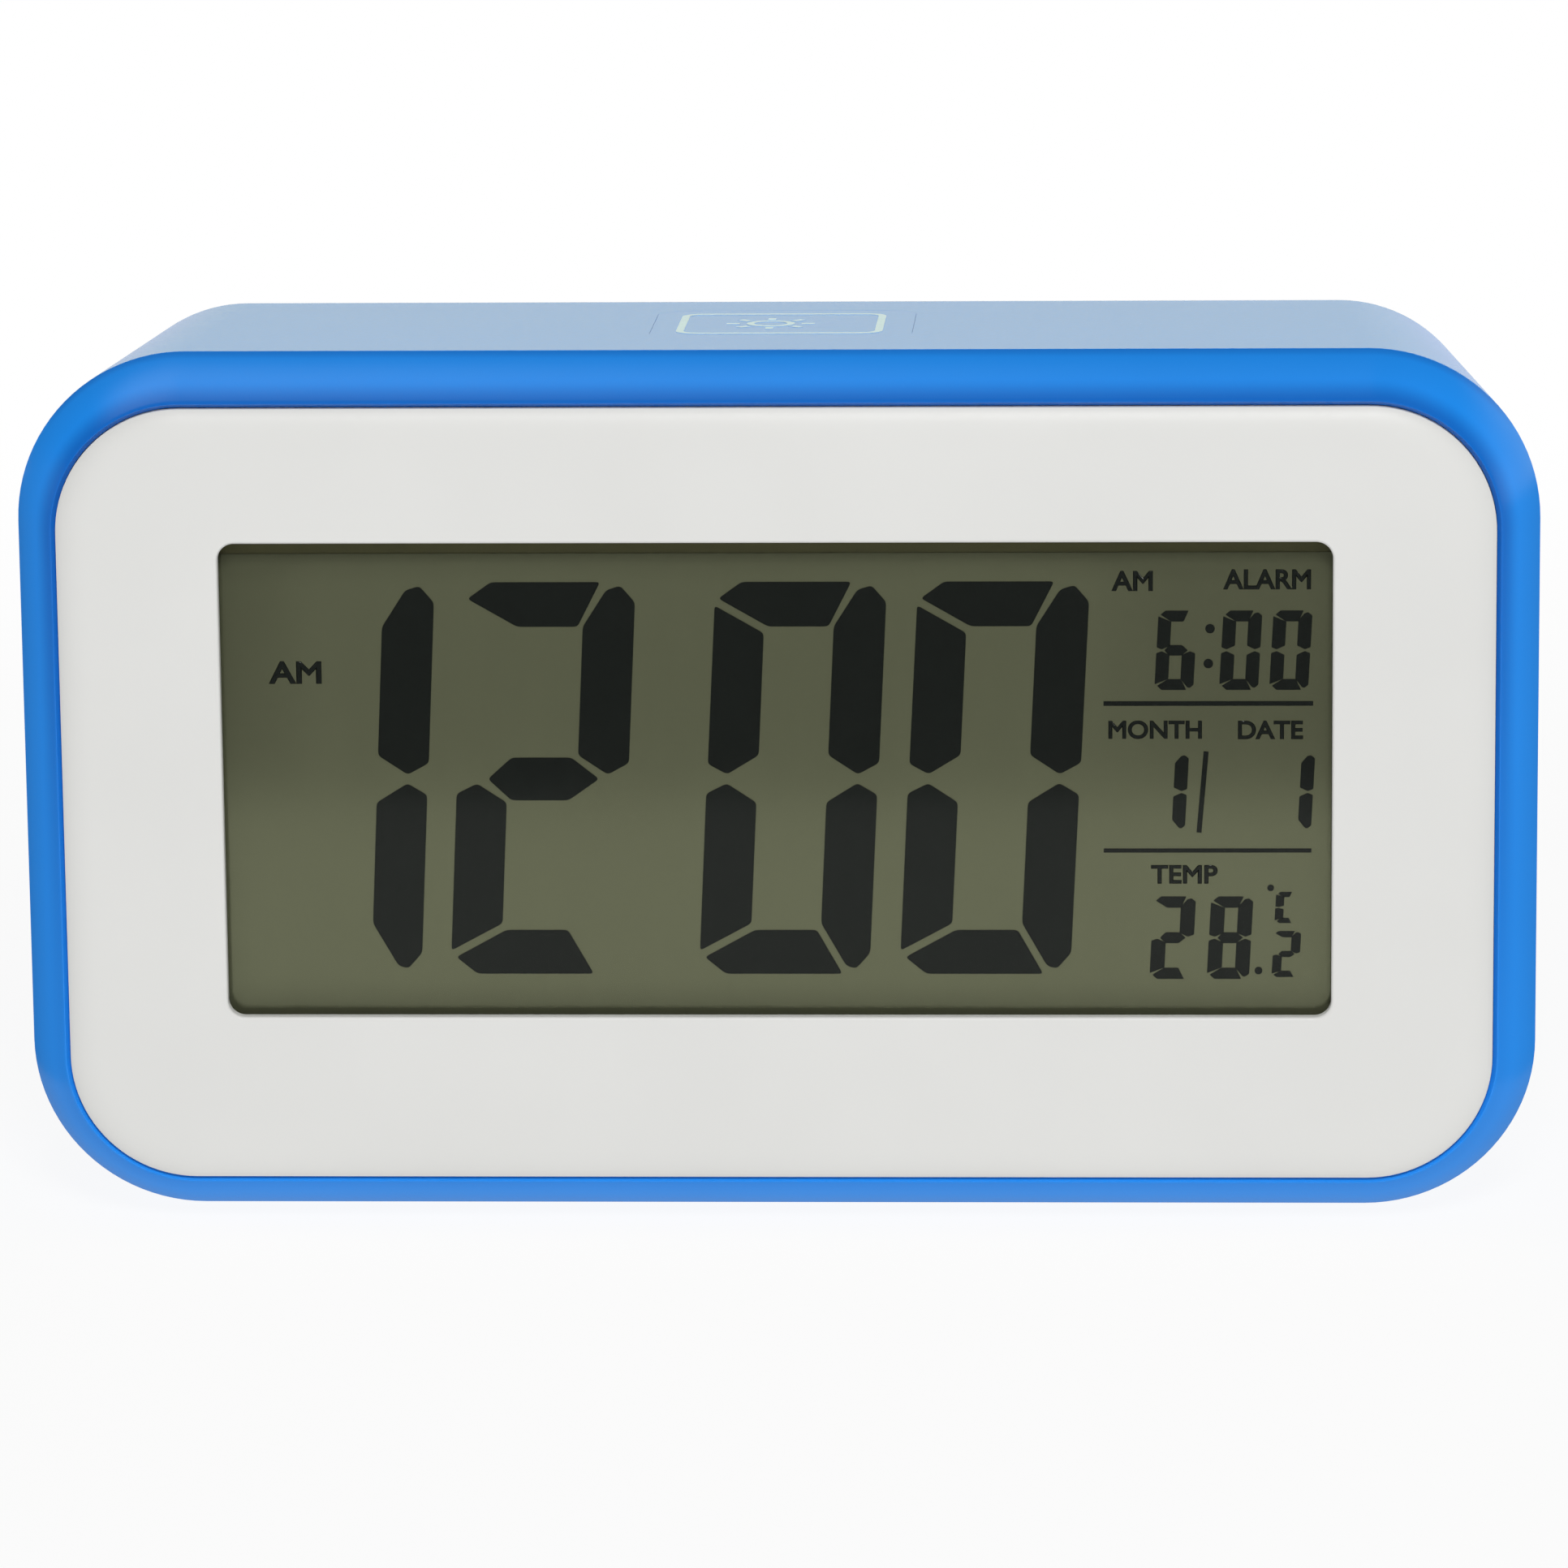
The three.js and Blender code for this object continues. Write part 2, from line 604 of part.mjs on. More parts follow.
function frontRing() {
  const inner = new THREE.Vector2(RIM_WIDTH - RIM_LAND, PANEL_EDGE_DROP);
  const crest = new THREE.Vector2(0, RIM_DEPTH);
  const chord = crest.clone().sub(inner);
  const outward = new THREE.Vector2(-chord.y, chord.x).normalize();
  const pull = inner.clone().add(crest).multiplyScalar(0.5).addScaledVector(outward, 2 * RIM_CROWN);
  const bevel = new THREE.QuadraticBezierCurve(inner, pull, crest).getPoints(BEVEL_FACETS);
  const outside = loft(bevel.map((point) => ({ outline: bodyOutline(point.x), y: point.y })));
  const tongueBack = RIM_DEPTH + RIM_TONGUE;
  const narrowing = SIDE_TAPER * RIM_TONGUE / (rearInside - RIM_DEPTH);
  const tongue = slab(bodyOutline(WALL + 2 * FIT + narrowing), RIM_DEPTH - SEAT, tongueBack);
  const shelfFront = panelBack + SEAT;
  return cut(
    join(outside, tongue),
    slab(bodyOutline(RIM_WIDTH), 0, shelfFront),
    slab(bodyOutline(RIM_WIDTH + RIM_SHELF), 0, tongueBack + WALL),
    slab(bodyOutline(RIM_WIDTH), shelfFront + RIM_SHELF_THICKNESS, tongueBack + WALL),
  );
}

function frontPanel() {
  const face = new THREE.Vector2(panelEdge + PANEL_EDGE_WIDTH, 0);
  const edge = new THREE.Vector2(panelEdge, PANEL_EDGE_DROP);
  const pull = new THREE.Vector2(panelEdge + PANEL_EDGE_WIDTH / 3, 0);
  const round = new THREE.QuadraticBezierCurve(face, pull, edge).getPoints(EDGE_FACETS);
  const sections = round.map((point) => ({ outline: bodyOutline(point.x), y: point.y }));
  const panel = loft([...sections, { outline: bodyOutline(panelEdge), y: panelBack }]);
  const skirtBack = panelBack + SKIRT_DEPTH;
  const skirt = cut(
    slab(bodyOutline(skirtOuter), panelBack - SEAT, skirtBack),
    slab(bodyOutline(skirtInner), 0, skirtBack + WALL),
  );
  const screwBosses = posts.map((place) => rod(place, HOUSING_BOSS_RADIUS, panelBack - SEAT, bossBack));
  const boardPosts = boardBosses.map((place) => (
    rod(place, BOARD_BOSS_RADIUS, panelBack - SEAT, boardFront - SEAT)
  ));
  const bosses = join(screwBosses, boardPosts).intersect(slab(bodyOutline(skirtOuter), 0, BODY_DEPTH));
  const screwTip = housingSeat - HOUSING_SCREW.length;
  const boardTip = boardBack + SEAT - BOARD_SCREW.length;
  return cut(
    join(panel, skirt, bosses),
    windowSlab(0, -WALL, panelBack + WALL),
    windowSlab(LENS_LAP + FIT, WINDOW_LIP, panelBack + SEAT),
    posts.map((place) => rod(place, HOUSING_SCREW.shank + SEAT, screwTip - SEAT, bossBack + WALL)),
    boardBosses.map((place) => rod(place, BOARD_SCREW.shank + SEAT, boardTip - SEAT, boardFront)),
  );
}

// Display and main board

function displayPanel() {
  return join(
    block(-displayHalf, displayHalf, displayFront, displayStep, displayLow, displayHigh),
    block(
      -displayHalf,
      displayHalf,
      displayStep - SEAT,
      displayBack,
      displayLow + CONTACT_LEDGE,
      displayHigh - CONTACT_LEDGE,
    ),
  );
}

function contactStrip(low) {
  const half = displayHalf - ELASTOMER_SHORTER;
  const high = low + CONTACT_LEDGE;
  return block(-half, half, displayStep + SEAT, boardFront - SEAT, low + FIT, high - FIT);
}

function guideSheet(front, back) {
  return block(-guideHalf, guideHalf, front, back, displayLow + CONTACT_LEDGE, displayHigh - CONTACT_LEDGE);
}

function backlightLed(side) {
  const near = side * (guideHalf + FIT);
  const far = side * (guideHalf + FIT + LED_DEPTH);
  return block(
    Math.min(near, far),
    Math.max(near, far),
    boardFront - SEAT - LED_HEIGHT,
    boardFront - SEAT,
    windowMiddle - LED_WIDTH / 2,
    windowMiddle + LED_WIDTH / 2,
  );
}

function framePinPlaces() {
  const rail = (FIT + FRAME_WALL) / 2;
  return mirrored(FRAME_PIN_SPREAD, [frameLow + rail, frameHigh - rail]);
}

function displayFrame() {
  const outer = block(-frameHalf, frameHalf, displayFront, boardFront - SEAT, frameLow, frameHigh);
  const opening = block(
    -displayHalf - FIT,
    displayHalf + FIT,
    0,
    BODY_DEPTH,
    displayLow - FIT,
    displayHigh + FIT,
  );
  const pins = framePinPlaces().map((place) => (
    rod(place, FRAME_PIN_RADIUS, boardFront - BOARD, boardBack + FRAME_PIN_PROUD)
  ));
  const bossRoom = [
    ...boardBosses.map((place) => rod(place, BOARD_BOSS_RADIUS + PLAY, 0, BODY_DEPTH)),
    ...posts.map((place) => rod(place, HOUSING_BOSS_RADIUS + PLAY, 0, BODY_DEPTH)),
  ];
  return cut(join(cut(outer, opening), pins), bossRoom);
}

function mainBoard() {
  const board = block(-boardHalf, boardHalf, boardFront, boardBack, frameLow, frameHigh);
  return cut(
    board.intersect(slab(bodyOutline(skirtInner + PLAY), 0, BODY_DEPTH)),
    posts.map((place) => rod(place, HOUSING_BOSS_RADIUS + PLAY, 0, BODY_DEPTH)),
    boardBosses.map((place) => rod(place, BOARD_SCREW.shank + PLAY, 0, BODY_DEPTH)),
    framePinPlaces().map((place) => rod(place, FRAME_PIN_RADIUS + FIT, 0, BODY_DEPTH)),
  );
}

function chipBlob() {
  const dome = new THREE.EllipseCurve(0, 0, CHIP_RADIUS, CHIP_HEIGHT, 0, Math.PI / 2);
  const profile = dome.getPoints(EDGE_FACETS).map((point) => [point.x, point.y]);
  profile[profile.length - 1][0] = 0;
  return turned([[0, 0], ...profile], ROUND_FACETS);
}

function thermistor() {
  const bead = solid(new THREE.SphereGeometry(BEAD_RADIUS, SPRING_FACETS, EDGE_FACETS));
  const legs = [-BEAD_LEG_SPREAD, BEAD_LEG_SPREAD].map((x) => (
    rod({ x, z: 0 }, BEAD_LEG_RADIUS, -BEAD_LEG_LENGTH, 0, SPRING_FACETS)
  ));
  return join(bead, legs);
}

// Screws stand on their seat with the head towards +Y

function screw({ head, top, height, shank, length }) {
  const form = turned([
    [0, -length],
    [shank, shank - length],
    [shank, 0],
    [head, 0],
    [head, height / 2],
    [top, height],
    [0, height],
  ]);
  const half = CROSS_WIDTH / 2;
  const bottom = height - CROSS_DEPTH;
  return cut(
    form,
    block(-CROSS_REACH, CROSS_REACH, bottom, 2 * height, -half, half),
    block(-half, half, bottom, 2 * height, -CROSS_REACH, CROSS_REACH),
  );
}

// Keys and switches

function button() {
  const tip = BODY_DEPTH + BUTTON_PROUD;
  return turned([
    [0, stemTip],
    [STEM_RADIUS, stemTip],
    [STEM_RADIUS, flangeFront],
    [flangeRadius, flangeFront],
    [flangeRadius, flangeBack],
    [BUTTON_RADIUS, flangeBack],
    [BUTTON_RADIUS, tip - BUTTON_EDGE],
    [BUTTON_RADIUS - BUTTON_EDGE, tip],
    [0, tip],
  ], ROUND_FACETS);
}

// A push switch on its board, with the plunger towards +Y. The plunger is drawn pressed,
// so that the key above it has its whole travel.
function pushSwitch() {
  const half = SWITCH_SIZE / 2;
  return join(
    block(-half, half, 0, SWITCH_HEIGHT, -half, half),
    rod({ x: 0, z: 0 }, PLUNGER_RADIUS, SWITCH_HEIGHT / 2, SWITCH_HEIGHT + PLUNGER),
  );
}

function keyBoard() {
  const left = slideX - SLIDE_BODY_WIDTH / 2 - PLAY;
  const right = firstButtonX + KEY_BOARD_END;
  const half = KEY_BOARD_HEIGHT / 2;
  return cut(
    block(left, right, keyBoardFront, keyBoardBack, controlZ - half, controlZ + half),
    keyBossPlaces.map((place) => rod(place, BOARD_SCREW.shank + PLAY, 0, BODY_DEPTH)),
  );
}

function slideKnob() {
  const gripHalf = GRIP_WIDTH / 2;
  const gripRise = GRIP_HEIGHT / 2;
  const gripBack = BODY_DEPTH + BUTTON_PROUD;
  const plateRise = SLIDE_PLATE_HEIGHT / 2;
  const leg = SLIDE_LEG / 2;
  const grooves = Array.from({ length: GRIP_GROOVES }, (_, i) => {
    const x = GRIP_WIDTH * (i + 1) / (GRIP_GROOVES + 1) - gripHalf;
    const half = GRIP_GROOVE / 2;
    return block(x - half, x + half, gripBack - GRIP_GROOVE, gripBack + WALL, -GRIP_HEIGHT, GRIP_HEIGHT);
  });
  const knob = join(
    block(-gripHalf, gripHalf, flangeFront, gripBack, -gripRise, gripRise),
    block(-slidePlateHalf, slidePlateHalf, flangeFront, flangeBack, -plateRise, plateRise),
    block(-leg, leg, flangeFront - SLIDE_LEG_REACH, flangeBack, -leg, leg),
  );
  return cut(knob, grooves);
}

// The slide switch stands on the key board, with a channel for the knob's leg
function slideSwitch() {
  const half = SLIDE_BODY_WIDTH / 2;
  const rise = SLIDE_BODY_HEIGHT / 2;
  const channelHalf = (SLIDE_LEG + SLIDE_TRAVEL) / 2 + PLAY;
  const channelRise = SLIDE_LEG / 2 + PLAY;
  const legTip = flangeFront - SLIDE_LEG_REACH;
  return cut(
    block(-half, half, keyBoardBack + SEAT, flangeFront - PLAY, -rise, rise),
    block(-channelHalf, channelHalf, legTip - PLAY, BODY_DEPTH, -channelRise, channelRise),
  );
}

function snoozeKey() {
  const cap = caseForm().intersect(snoozePrism(0, snoozeFlangeLow, topside + WALL));
  const underWall = caseRoom().translate(0, 0, -SEAT);
  const flange = underWall.intersect(snoozePrism(SNOOZE_FLANGE, snoozeFlangeLow, topside + WALL));
  const stem = pillar({ x: 0, y: snoozeY }, STEM_RADIUS, snoozeTip, snoozeFlangeLow + WALL);
  return join(cap, flange, stem);
}

function snoozeBoard() {
  const half = snoozeBossX + SNOOZE_BOARD_END;
  const reach = SNOOZE_BOARD_DEPTH / 2;
  return cut(
    block(-half, half, snoozeY - reach, snoozeY + reach, snoozeBoardLow, snoozeBoardTop),
    [-snoozeBossX, snoozeBossX].map((x) => (
      pillar({ x, y: snoozeY }, BOARD_SCREW.shank + PLAY, 0, topside)
    )),
  );
}

// A flat cable that sags from the key board to the main board
function keyRibbon() {
  const start = new THREE.Vector2(keyBoardFront - PLAY, controlZ);
  const end = new THREE.Vector2(boardBack + PLAY, controlZ - RIBBON_SAG);
  const middle = new THREE.Vector2((start.x + end.x) / 2, controlZ - 2 * RIBBON_SAG);
  const curve = new THREE.QuadraticBezierCurve(start, middle, end);
  const half = RIBBON_WIDTH / 2;
  const steps = 2 * CORNER_FACETS;
  const rings = [];
  for (let step = 0; step <= steps; step += 1) {
    const point = curve.getPoint(step / steps);
    const along = curve.getTangent(step / steps);
    const across = new THREE.Vector2(-along.y, along.x).multiplyScalar(RIBBON / 2);
    rings.push([
      new THREE.Vector3(-half, point.x + across.x, point.y + across.y),
      new THREE.Vector3(-half, point.x - across.x, point.y - across.y),
      new THREE.Vector3(half, point.x - across.x, point.y - across.y),
      new THREE.Vector3(half, point.x + across.x, point.y + across.y),
    ]);
  }
  return skin(rings);
}

// Cells and contacts

function cell() {
  const shoulder = CELL_LENGTH - CELL_NUB_LENGTH;
  return turned([
    [0, 0],
    [CELL_RADIUS - CELL_EDGE, 0],
    [CELL_RADIUS, CELL_EDGE],
    [CELL_RADIUS, shoulder - CELL_EDGE],
    [CELL_RADIUS - CELL_EDGE, shoulder],
    [CELL_NUB_RADIUS, shoulder],
    [CELL_NUB_RADIUS, CELL_LENGTH],
    [0, CELL_LENGTH],
  ], ROUND_FACETS);
}

// Middle line of a conical spring that stands on a contact plate and leans on the cell
function springLine(side, z) {
  const steps = SPRING_FACETS * SPRING_TURNS;
  const rise = SPRING_LENGTH - SPRING_WIRE_RADIUS - SEAT;
  const line = [];
  for (let step = 0; step <= steps; step += 1) {
    const share = step / steps;
    const angle = share * SPRING_TURNS * 2 * Math.PI;
    const radius = THREE.MathUtils.lerp(SPRING_BASE_RADIUS, SPRING_TIP_RADIUS, share);
    const outward = new THREE.Vector3(0, Math.cos(angle), Math.sin(angle));
    const axis = new THREE.Vector3(side * (contactInner - share * rise), cellY, z);
    line.push({ centre: axis.addScaledVector(outward, radius), outward });
  }
  return line;
}

function springWire(side, z) {
  const axial = new THREE.Vector3(1, 0, 0);
  return skin(springLine(side, z).map(({ centre, outward }) => (
    Array.from({ length: WIRE_SIDES }, (_, i) => {
      const angle = (i / WIRE_SIDES) * 2 * Math.PI;
      const point = centre.clone().addScaledVector(outward, SPRING_WIRE_RADIUS * Math.cos(angle));
      return point.addScaledVector(axial, SPRING_WIRE_RADIUS * Math.sin(angle));
    })
  )));
}

// Least gap between turns of a spring, measured on points at least half a turn apart
function springGap() {
  const line = springLine(1, 0).map(({ centre }) => centre);
  let least = Infinity;
  line.forEach((here, i) => {
    line.slice(i + SPRING_FACETS / 2).forEach((there) => {
      least = Math.min(least, here.distanceTo(there));
    });
  });
  return least - 2 * SPRING_WIRE_RADIUS;
}

function contactPlate(side, low, high) {
  const inner = side * contactInner;
  const outer = side * (contactInner + CONTACT);
  const half = CONTACT_SIZE / 2;
  return block(Math.min(inner, outer), Math.max(inner, outer), cellY - half, cellY + half, low, high);
}

function contactTab(side, z) {
  const inner = side * contactInner;
  const outer = side * (contactInner + CONTACT);
  const front = bayFloor - BAY_WALL - CONTACT_TAB_REACH;
  const half = CONTACT_TAB / 2;
  return block(Math.min(inner, outer), Math.max(inner, outer), front, cellY, z - half, z + half);
}

function singleContact(side, i) {
  const half = CONTACT_SIZE / 2;
  return join(contactPlate(side, cellZ(i) - half, cellZ(i) + half), contactTab(side, cellZ(i)));
}

function linkContact(side, i) {
  const half = CONTACT_SIZE / 2;
  return contactPlate(side, cellZ(i) - half, cellZ(i + 1) + half);
}

// An insulated wire from a contact's tab to the main board
function lead(side, i) {
  const x = side * (contactInner + CONTACT / 2);
  const z = cellZ(i);
  const tabFront = bayFloor - BAY_WALL - CONTACT_TAB_REACH;
  const rest = tabFront - boardBack;
  const route = new THREE.CatmullRomCurve3([
    new THREE.Vector3(x, tabFront - PLAY, z),
    new THREE.Vector3(x, tabFront - rest * 0.2, z),
    new THREE.Vector3(x + side * LEAD_SPREAD * 0.6, tabFront - rest * 0.5, z + LEAD_CLIMB * 0.2),
    new THREE.Vector3(x + side * LEAD_SPREAD, tabFront - rest * 0.8, z + LEAD_CLIMB * 0.8),
    new THREE.Vector3(x + side * LEAD_SPREAD, boardBack + PLAY, z + LEAD_CLIMB),
  ]);
  const round = new THREE.Shape().absarc(0, 0, LEAD_RADIUS, 0, 2 * Math.PI);
  return solid(new THREE.ExtrudeGeometry(round, {
    steps: 2 * CORNER_FACETS,
    curveSegments: SPRING_FACETS / 2,
    extrudePath: route,
  }));
}

// Door of the cell bay. Its hooks turn about the lower outer edge, and its tongue latches at the top.
function cellDoor() {
  const plate = doorSlab(0, doorFront, BODY_DEPTH);
  const hooks = [-HOOK_SPREAD, HOOK_SPREAD].map((x) => block(
    x - HOOK_WIDTH / 2,
    x + HOOK_WIDTH / 2,
    hookFront,
    hookBack,
    doorLow - HOOK_DROP,
    doorLow + HOOK_ROOT,
  ));
  const tongueHalf = LATCH_WIDTH / 2;
  const nib = block(
    -tongueHalf,
    tongueHalf,
    doorFront,
    BODY_DEPTH - DOOR / 2,
    doorHigh - HOOK_ROOT,
    doorHigh + LATCH_NIB,
  );
  const slits = [-tongueHalf - LATCH_SLIT, tongueHalf].map((x) => block(
    x,
    x + LATCH_SLIT,
    doorFront - WALL,
    BODY_DEPTH + WALL,
    doorHigh - LATCH_LENGTH,
    doorHigh + WALL,
  ));
  const grooves = Array.from({ length: LATCH_GROOVES }, (_, i) => {
    const z = doorHigh - LATCH_LENGTH * (i + 1) / (LATCH_GROOVES + 1);
    return block(
      1 - tongueHalf,
      tongueHalf - 1,
      BODY_DEPTH - LATCH_GROOVE,
      BODY_DEPTH + WALL,
      z - LATCH_GROOVE / 2,
      z + LATCH_GROOVE / 2,
    );
  });
  return cut(join(plate, hooks, nib), slits, grooves);
}

// The finished clock

const BLUE_PLASTIC = { color: 0x2681da, roughness: 0.35, metalness: 0 };
const WHITE_PLASTIC = { color: 0xe0e1dd, roughness: 0.45, metalness: 0 };
const CLEAR_PLASTIC = { color: 0xd8dcd8, roughness: 0.08, metalness: 0 };
const DISPLAY_GLASS = { color: 0x5c6049, roughness: 0.15, metalness: 0 };
const DARK_RUBBER = { color: 0x2a2b2d, roughness: 0.85, metalness: 0 };
const BOARD_LAMINATE = { color: 0x2f6b3d, roughness: 0.55, metalness: 0 };
const BLACK_PLASTIC = { color: 0x1d1e20, roughness: 0.5, metalness: 0 };
const STEEL = { color: 0xb9bcc0, roughness: 0.3, metalness: 1 };
const BRASS = { color: 0xc9a557, roughness: 0.35, metalness: 1 };
const CERAMIC = { color: 0xe8e4d6, roughness: 0.5, metalness: 0 };
const CELL_JACKET = { color: 0x3c4146, roughness: 0.4, metalness: 0 };
const GREY_CABLE = { color: 0x9da1a6, roughness: 0.6, metalness: 0 };
const RED_CABLE = { color: 0xb3262a, roughness: 0.55, metalness: 0 };
const BLACK_CABLE = { color: 0x202124, roughness: 0.55, metalness: 0 };

const clock = new THREE.Group();
clock.name = 'digital_alarm_clock';
clock.position.set(0, -overallDepth / 2, 0);

function place(name, form, finish) {
  const mesh = new THREE.Mesh(geometryOf(form), new THREE.MeshStandardMaterial(finish));
  mesh.name = name;
  clock.add(mesh);
  return mesh;
}

place('rear_case', rearCase(), BLUE_PLASTIC);
place('front_ring', frontRing(), BLUE_PLASTIC);
place('front_panel', frontPanel(), WHITE_PLASTIC);
place('display_lens', windowSlab(LENS_LAP, lensFront, lensBack), CLEAR_PLASTIC);
for (const spot of footPlaces()) {
  place(spot.name, pillar(spot, FOOT_RADIUS, 0, underside + FOOT_SEAT - SEAT, ROUND_FACETS), DARK_RUBBER);
}
posts.forEach(({ x, z }, i) => {
  place(`housing_screw_${i + 1}`, screw(HOUSING_SCREW), STEEL).position.set(x, housingSeat, z);
});

place('display_panel', displayPanel(), DISPLAY_GLASS);
place('light_guide', guideSheet(guideFront, guideBack), CLEAR_PLASTIC);
place('reflector_sheet', guideSheet(reflectorFront, reflectorBack), WHITE_PLASTIC);
place('backlight_led_left', backlightLed(-1), WHITE_PLASTIC);
place('backlight_led_right', backlightLed(1), WHITE_PLASTIC);
place('contact_strip_lower', contactStrip(displayLow), DARK_RUBBER);
place('contact_strip_upper', contactStrip(displayHigh - CONTACT_LEDGE), DARK_RUBBER);
place('display_frame', displayFrame(), WHITE_PLASTIC);
place('main_board', mainBoard(), BOARD_LAMINATE);
boardBosses.forEach(({ x, z }, i) => {
  place(`board_screw_${i + 1}`, screw(BOARD_SCREW), STEEL).position.set(x, boardBack + SEAT, z);
});
place('chip_blob', chipBlob(), BLACK_PLASTIC).position.set(0, boardBack + SEAT, windowMiddle);
const crystal = place('crystal', rod({ x: 0, z: 0 }, CRYSTAL_RADIUS, 0, CRYSTAL_LENGTH), STEEL);
crystal.position.set(CHIP_RADIUS * 2, boardBack + SEAT + CRYSTAL_RADIUS, windowMiddle);
crystal.rotation.x = Math.PI / 2;
const bead = place('thermistor', thermistor(), BLACK_PLASTIC);
bead.position.set(-sideX, boardBack + SEAT + BEAD_LEG_LENGTH, bayMiddle);

place('key_board', keyBoard(), BOARD_LAMINATE);
for (const { name, x } of buttonPlaces) {
  place(`${name}_switch`, pushSwitch(), BLACK_PLASTIC).position.set(x, keyBoardBack + SEAT, controlZ);
  place(`${name}_button`, button(), WHITE_PLASTIC).position.set(x, 0, controlZ);
}
place('alarm_switch', slideSwitch(), STEEL).position.set(slideX, 0, controlZ);
place('alarm_knob', slideKnob(), WHITE_PLASTIC).position.set(gripX, 0, controlZ);
keyBossPlaces.forEach(({ x, z }, i) => {
  const fastener = place(`key_board_screw_${i + 1}`, screw(BOARD_SCREW), STEEL);
  fastener.position.set(x, keyBoardFront - SEAT, z);
  fastener.rotation.x = Math.PI;
});
place('key_ribbon', keyRibbon(), GREY_CABLE);

place('snooze_key', snoozeKey(), BLUE_PLASTIC);
place('snooze_board', snoozeBoard(), BOARD_LAMINATE);
const snoozeSwitch = place('snooze_switch', pushSwitch(), BLACK_PLASTIC);
snoozeSwitch.position.set(0, snoozeY, snoozeBoardTop + SEAT);
snoozeSwitch.rotation.x = Math.PI / 2;
[-snoozeBossX, snoozeBossX].forEach((x, i) => {
  const fastener = place(`snooze_board_screw_${i + 1}`, screw(BOARD_SCREW), STEEL);
  fastener.position.set(x, snoozeY, snoozeBoardLow - SEAT);
  fastener.rotation.x = -Math.PI / 2;
});

const buzzerBack = rearInside - BUZZER_SEAT_HEIGHT - SEAT;
const buzzerMiddle = { x: sideX, z: bayMiddle };
const buzzerFront = buzzerBack - BUZZER_PLATE;
place('buzzer_plate', rod(buzzerMiddle, BUZZER_RADIUS, buzzerFront, buzzerBack, ROUND_FACETS), BRASS);
const elementBack = buzzerFront - SEAT;
const elementFront = elementBack - BUZZER_PLATE;
const element = rod(buzzerMiddle, BUZZER_ELEMENT_RADIUS, elementFront, elementBack, ROUND_FACETS);
place('buzzer_element', element, CERAMIC);

// The cells lie in series: the top one has its nub to the right, and they turn about downwards
for (let i = 0; i < CELL_COUNT; i += 1) {
  const side = (CELL_COUNT - 1 - i) % 2 === 0 ? 1 : -1;
  const battery = place(`battery_${i + 1}`, cell(), CELL_JACKET);
  battery.rotation.z = -side * Math.PI / 2;
  battery.position.set(side * (contactInner - SEAT - CELL_LENGTH), cellY, cellZ(i));
}
const top = CELL_COUNT - 1;
place('contact_positive', singleContact(1, top), STEEL);
place('contact_negative', join(singleContact(-1, 0), springWire(-1, cellZ(0))), STEEL);
place('contact_link_left', join(linkContact(-1, top - 1), springWire(-1, cellZ(top))), STEEL);
place('contact_link_right', join(linkContact(1, 0), springWire(1, cellZ(top - 1))), STEEL);
place('battery_lead_red', lead(1, top), RED_CABLE);
place('battery_lead_black', lead(-1, 0), BLACK_CABLE);
console.log(`least gap between spring turns: ${springGap().toFixed(2)} mm`);

place('battery_door', cellDoor(), BLUE_PLASTIC);

export default clock;
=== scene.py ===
"""Digital alarm clock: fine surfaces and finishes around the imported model, in metres."""

import json
import math

import bmesh
import bpy
from mathutils import Matrix, Vector


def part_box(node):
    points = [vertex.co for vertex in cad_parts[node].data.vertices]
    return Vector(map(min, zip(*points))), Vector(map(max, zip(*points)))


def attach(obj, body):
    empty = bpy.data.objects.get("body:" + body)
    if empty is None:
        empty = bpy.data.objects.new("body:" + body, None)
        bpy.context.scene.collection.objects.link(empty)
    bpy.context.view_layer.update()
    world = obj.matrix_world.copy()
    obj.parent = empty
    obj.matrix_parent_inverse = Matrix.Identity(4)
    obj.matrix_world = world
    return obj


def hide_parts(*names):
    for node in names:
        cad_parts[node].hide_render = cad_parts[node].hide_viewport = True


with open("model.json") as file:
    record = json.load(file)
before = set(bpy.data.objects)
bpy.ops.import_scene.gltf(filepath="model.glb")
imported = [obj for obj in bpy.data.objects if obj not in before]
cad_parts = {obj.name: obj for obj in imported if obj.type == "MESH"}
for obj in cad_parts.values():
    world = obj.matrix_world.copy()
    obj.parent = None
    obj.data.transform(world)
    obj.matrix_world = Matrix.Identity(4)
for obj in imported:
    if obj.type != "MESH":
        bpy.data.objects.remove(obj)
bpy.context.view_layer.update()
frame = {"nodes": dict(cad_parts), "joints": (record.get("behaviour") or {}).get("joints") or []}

# Front panel
# The white face of the clock, moulded in ABS with a fine satin texture. A soft border runs round it
# and a thin lip frames the window. The bosses behind it take the board screws and the housing screws.
MM = 0.001
ring_low, ring_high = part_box("front_ring")
panel_low, panel_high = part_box("front_panel")
lens_low, lens_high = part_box("display_lens")
board_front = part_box("main_board")[0].y
half_width = ring_high.x
underside = ring_low.z
topside = ring_high.z
front = panel_low.y
corner_radius = 15.2 * MM
corner_steps = 24
fine_steps = 8
least_bend = 0.01 * MM
weld = 0.0005 * MM
sharp_angle = math.radians(32)
lens_lap = 1.6 * MM
lens_fit = 0.2 * MM
window_radius = 1.5 * MM
window_lip = 1.0 * MM
window_round = 0.3 * MM
joint_cover = 0.14 * MM
panel_edge = half_width - panel_high.x - joint_cover
panel_plate = 2.2 * MM
border_width = 2.8 * MM
border_drop = 0.8 * MM
border_steps = 10
skirt_outer = 5.8 * MM
skirt_inner = 7.3 * MM
skirt_depth = 11.2 * MM
housing_boss = 3.2 * MM
housing_pilot = 1.4 * MM
board_boss = 2.4 * MM
board_pilot = 1.0 * MM
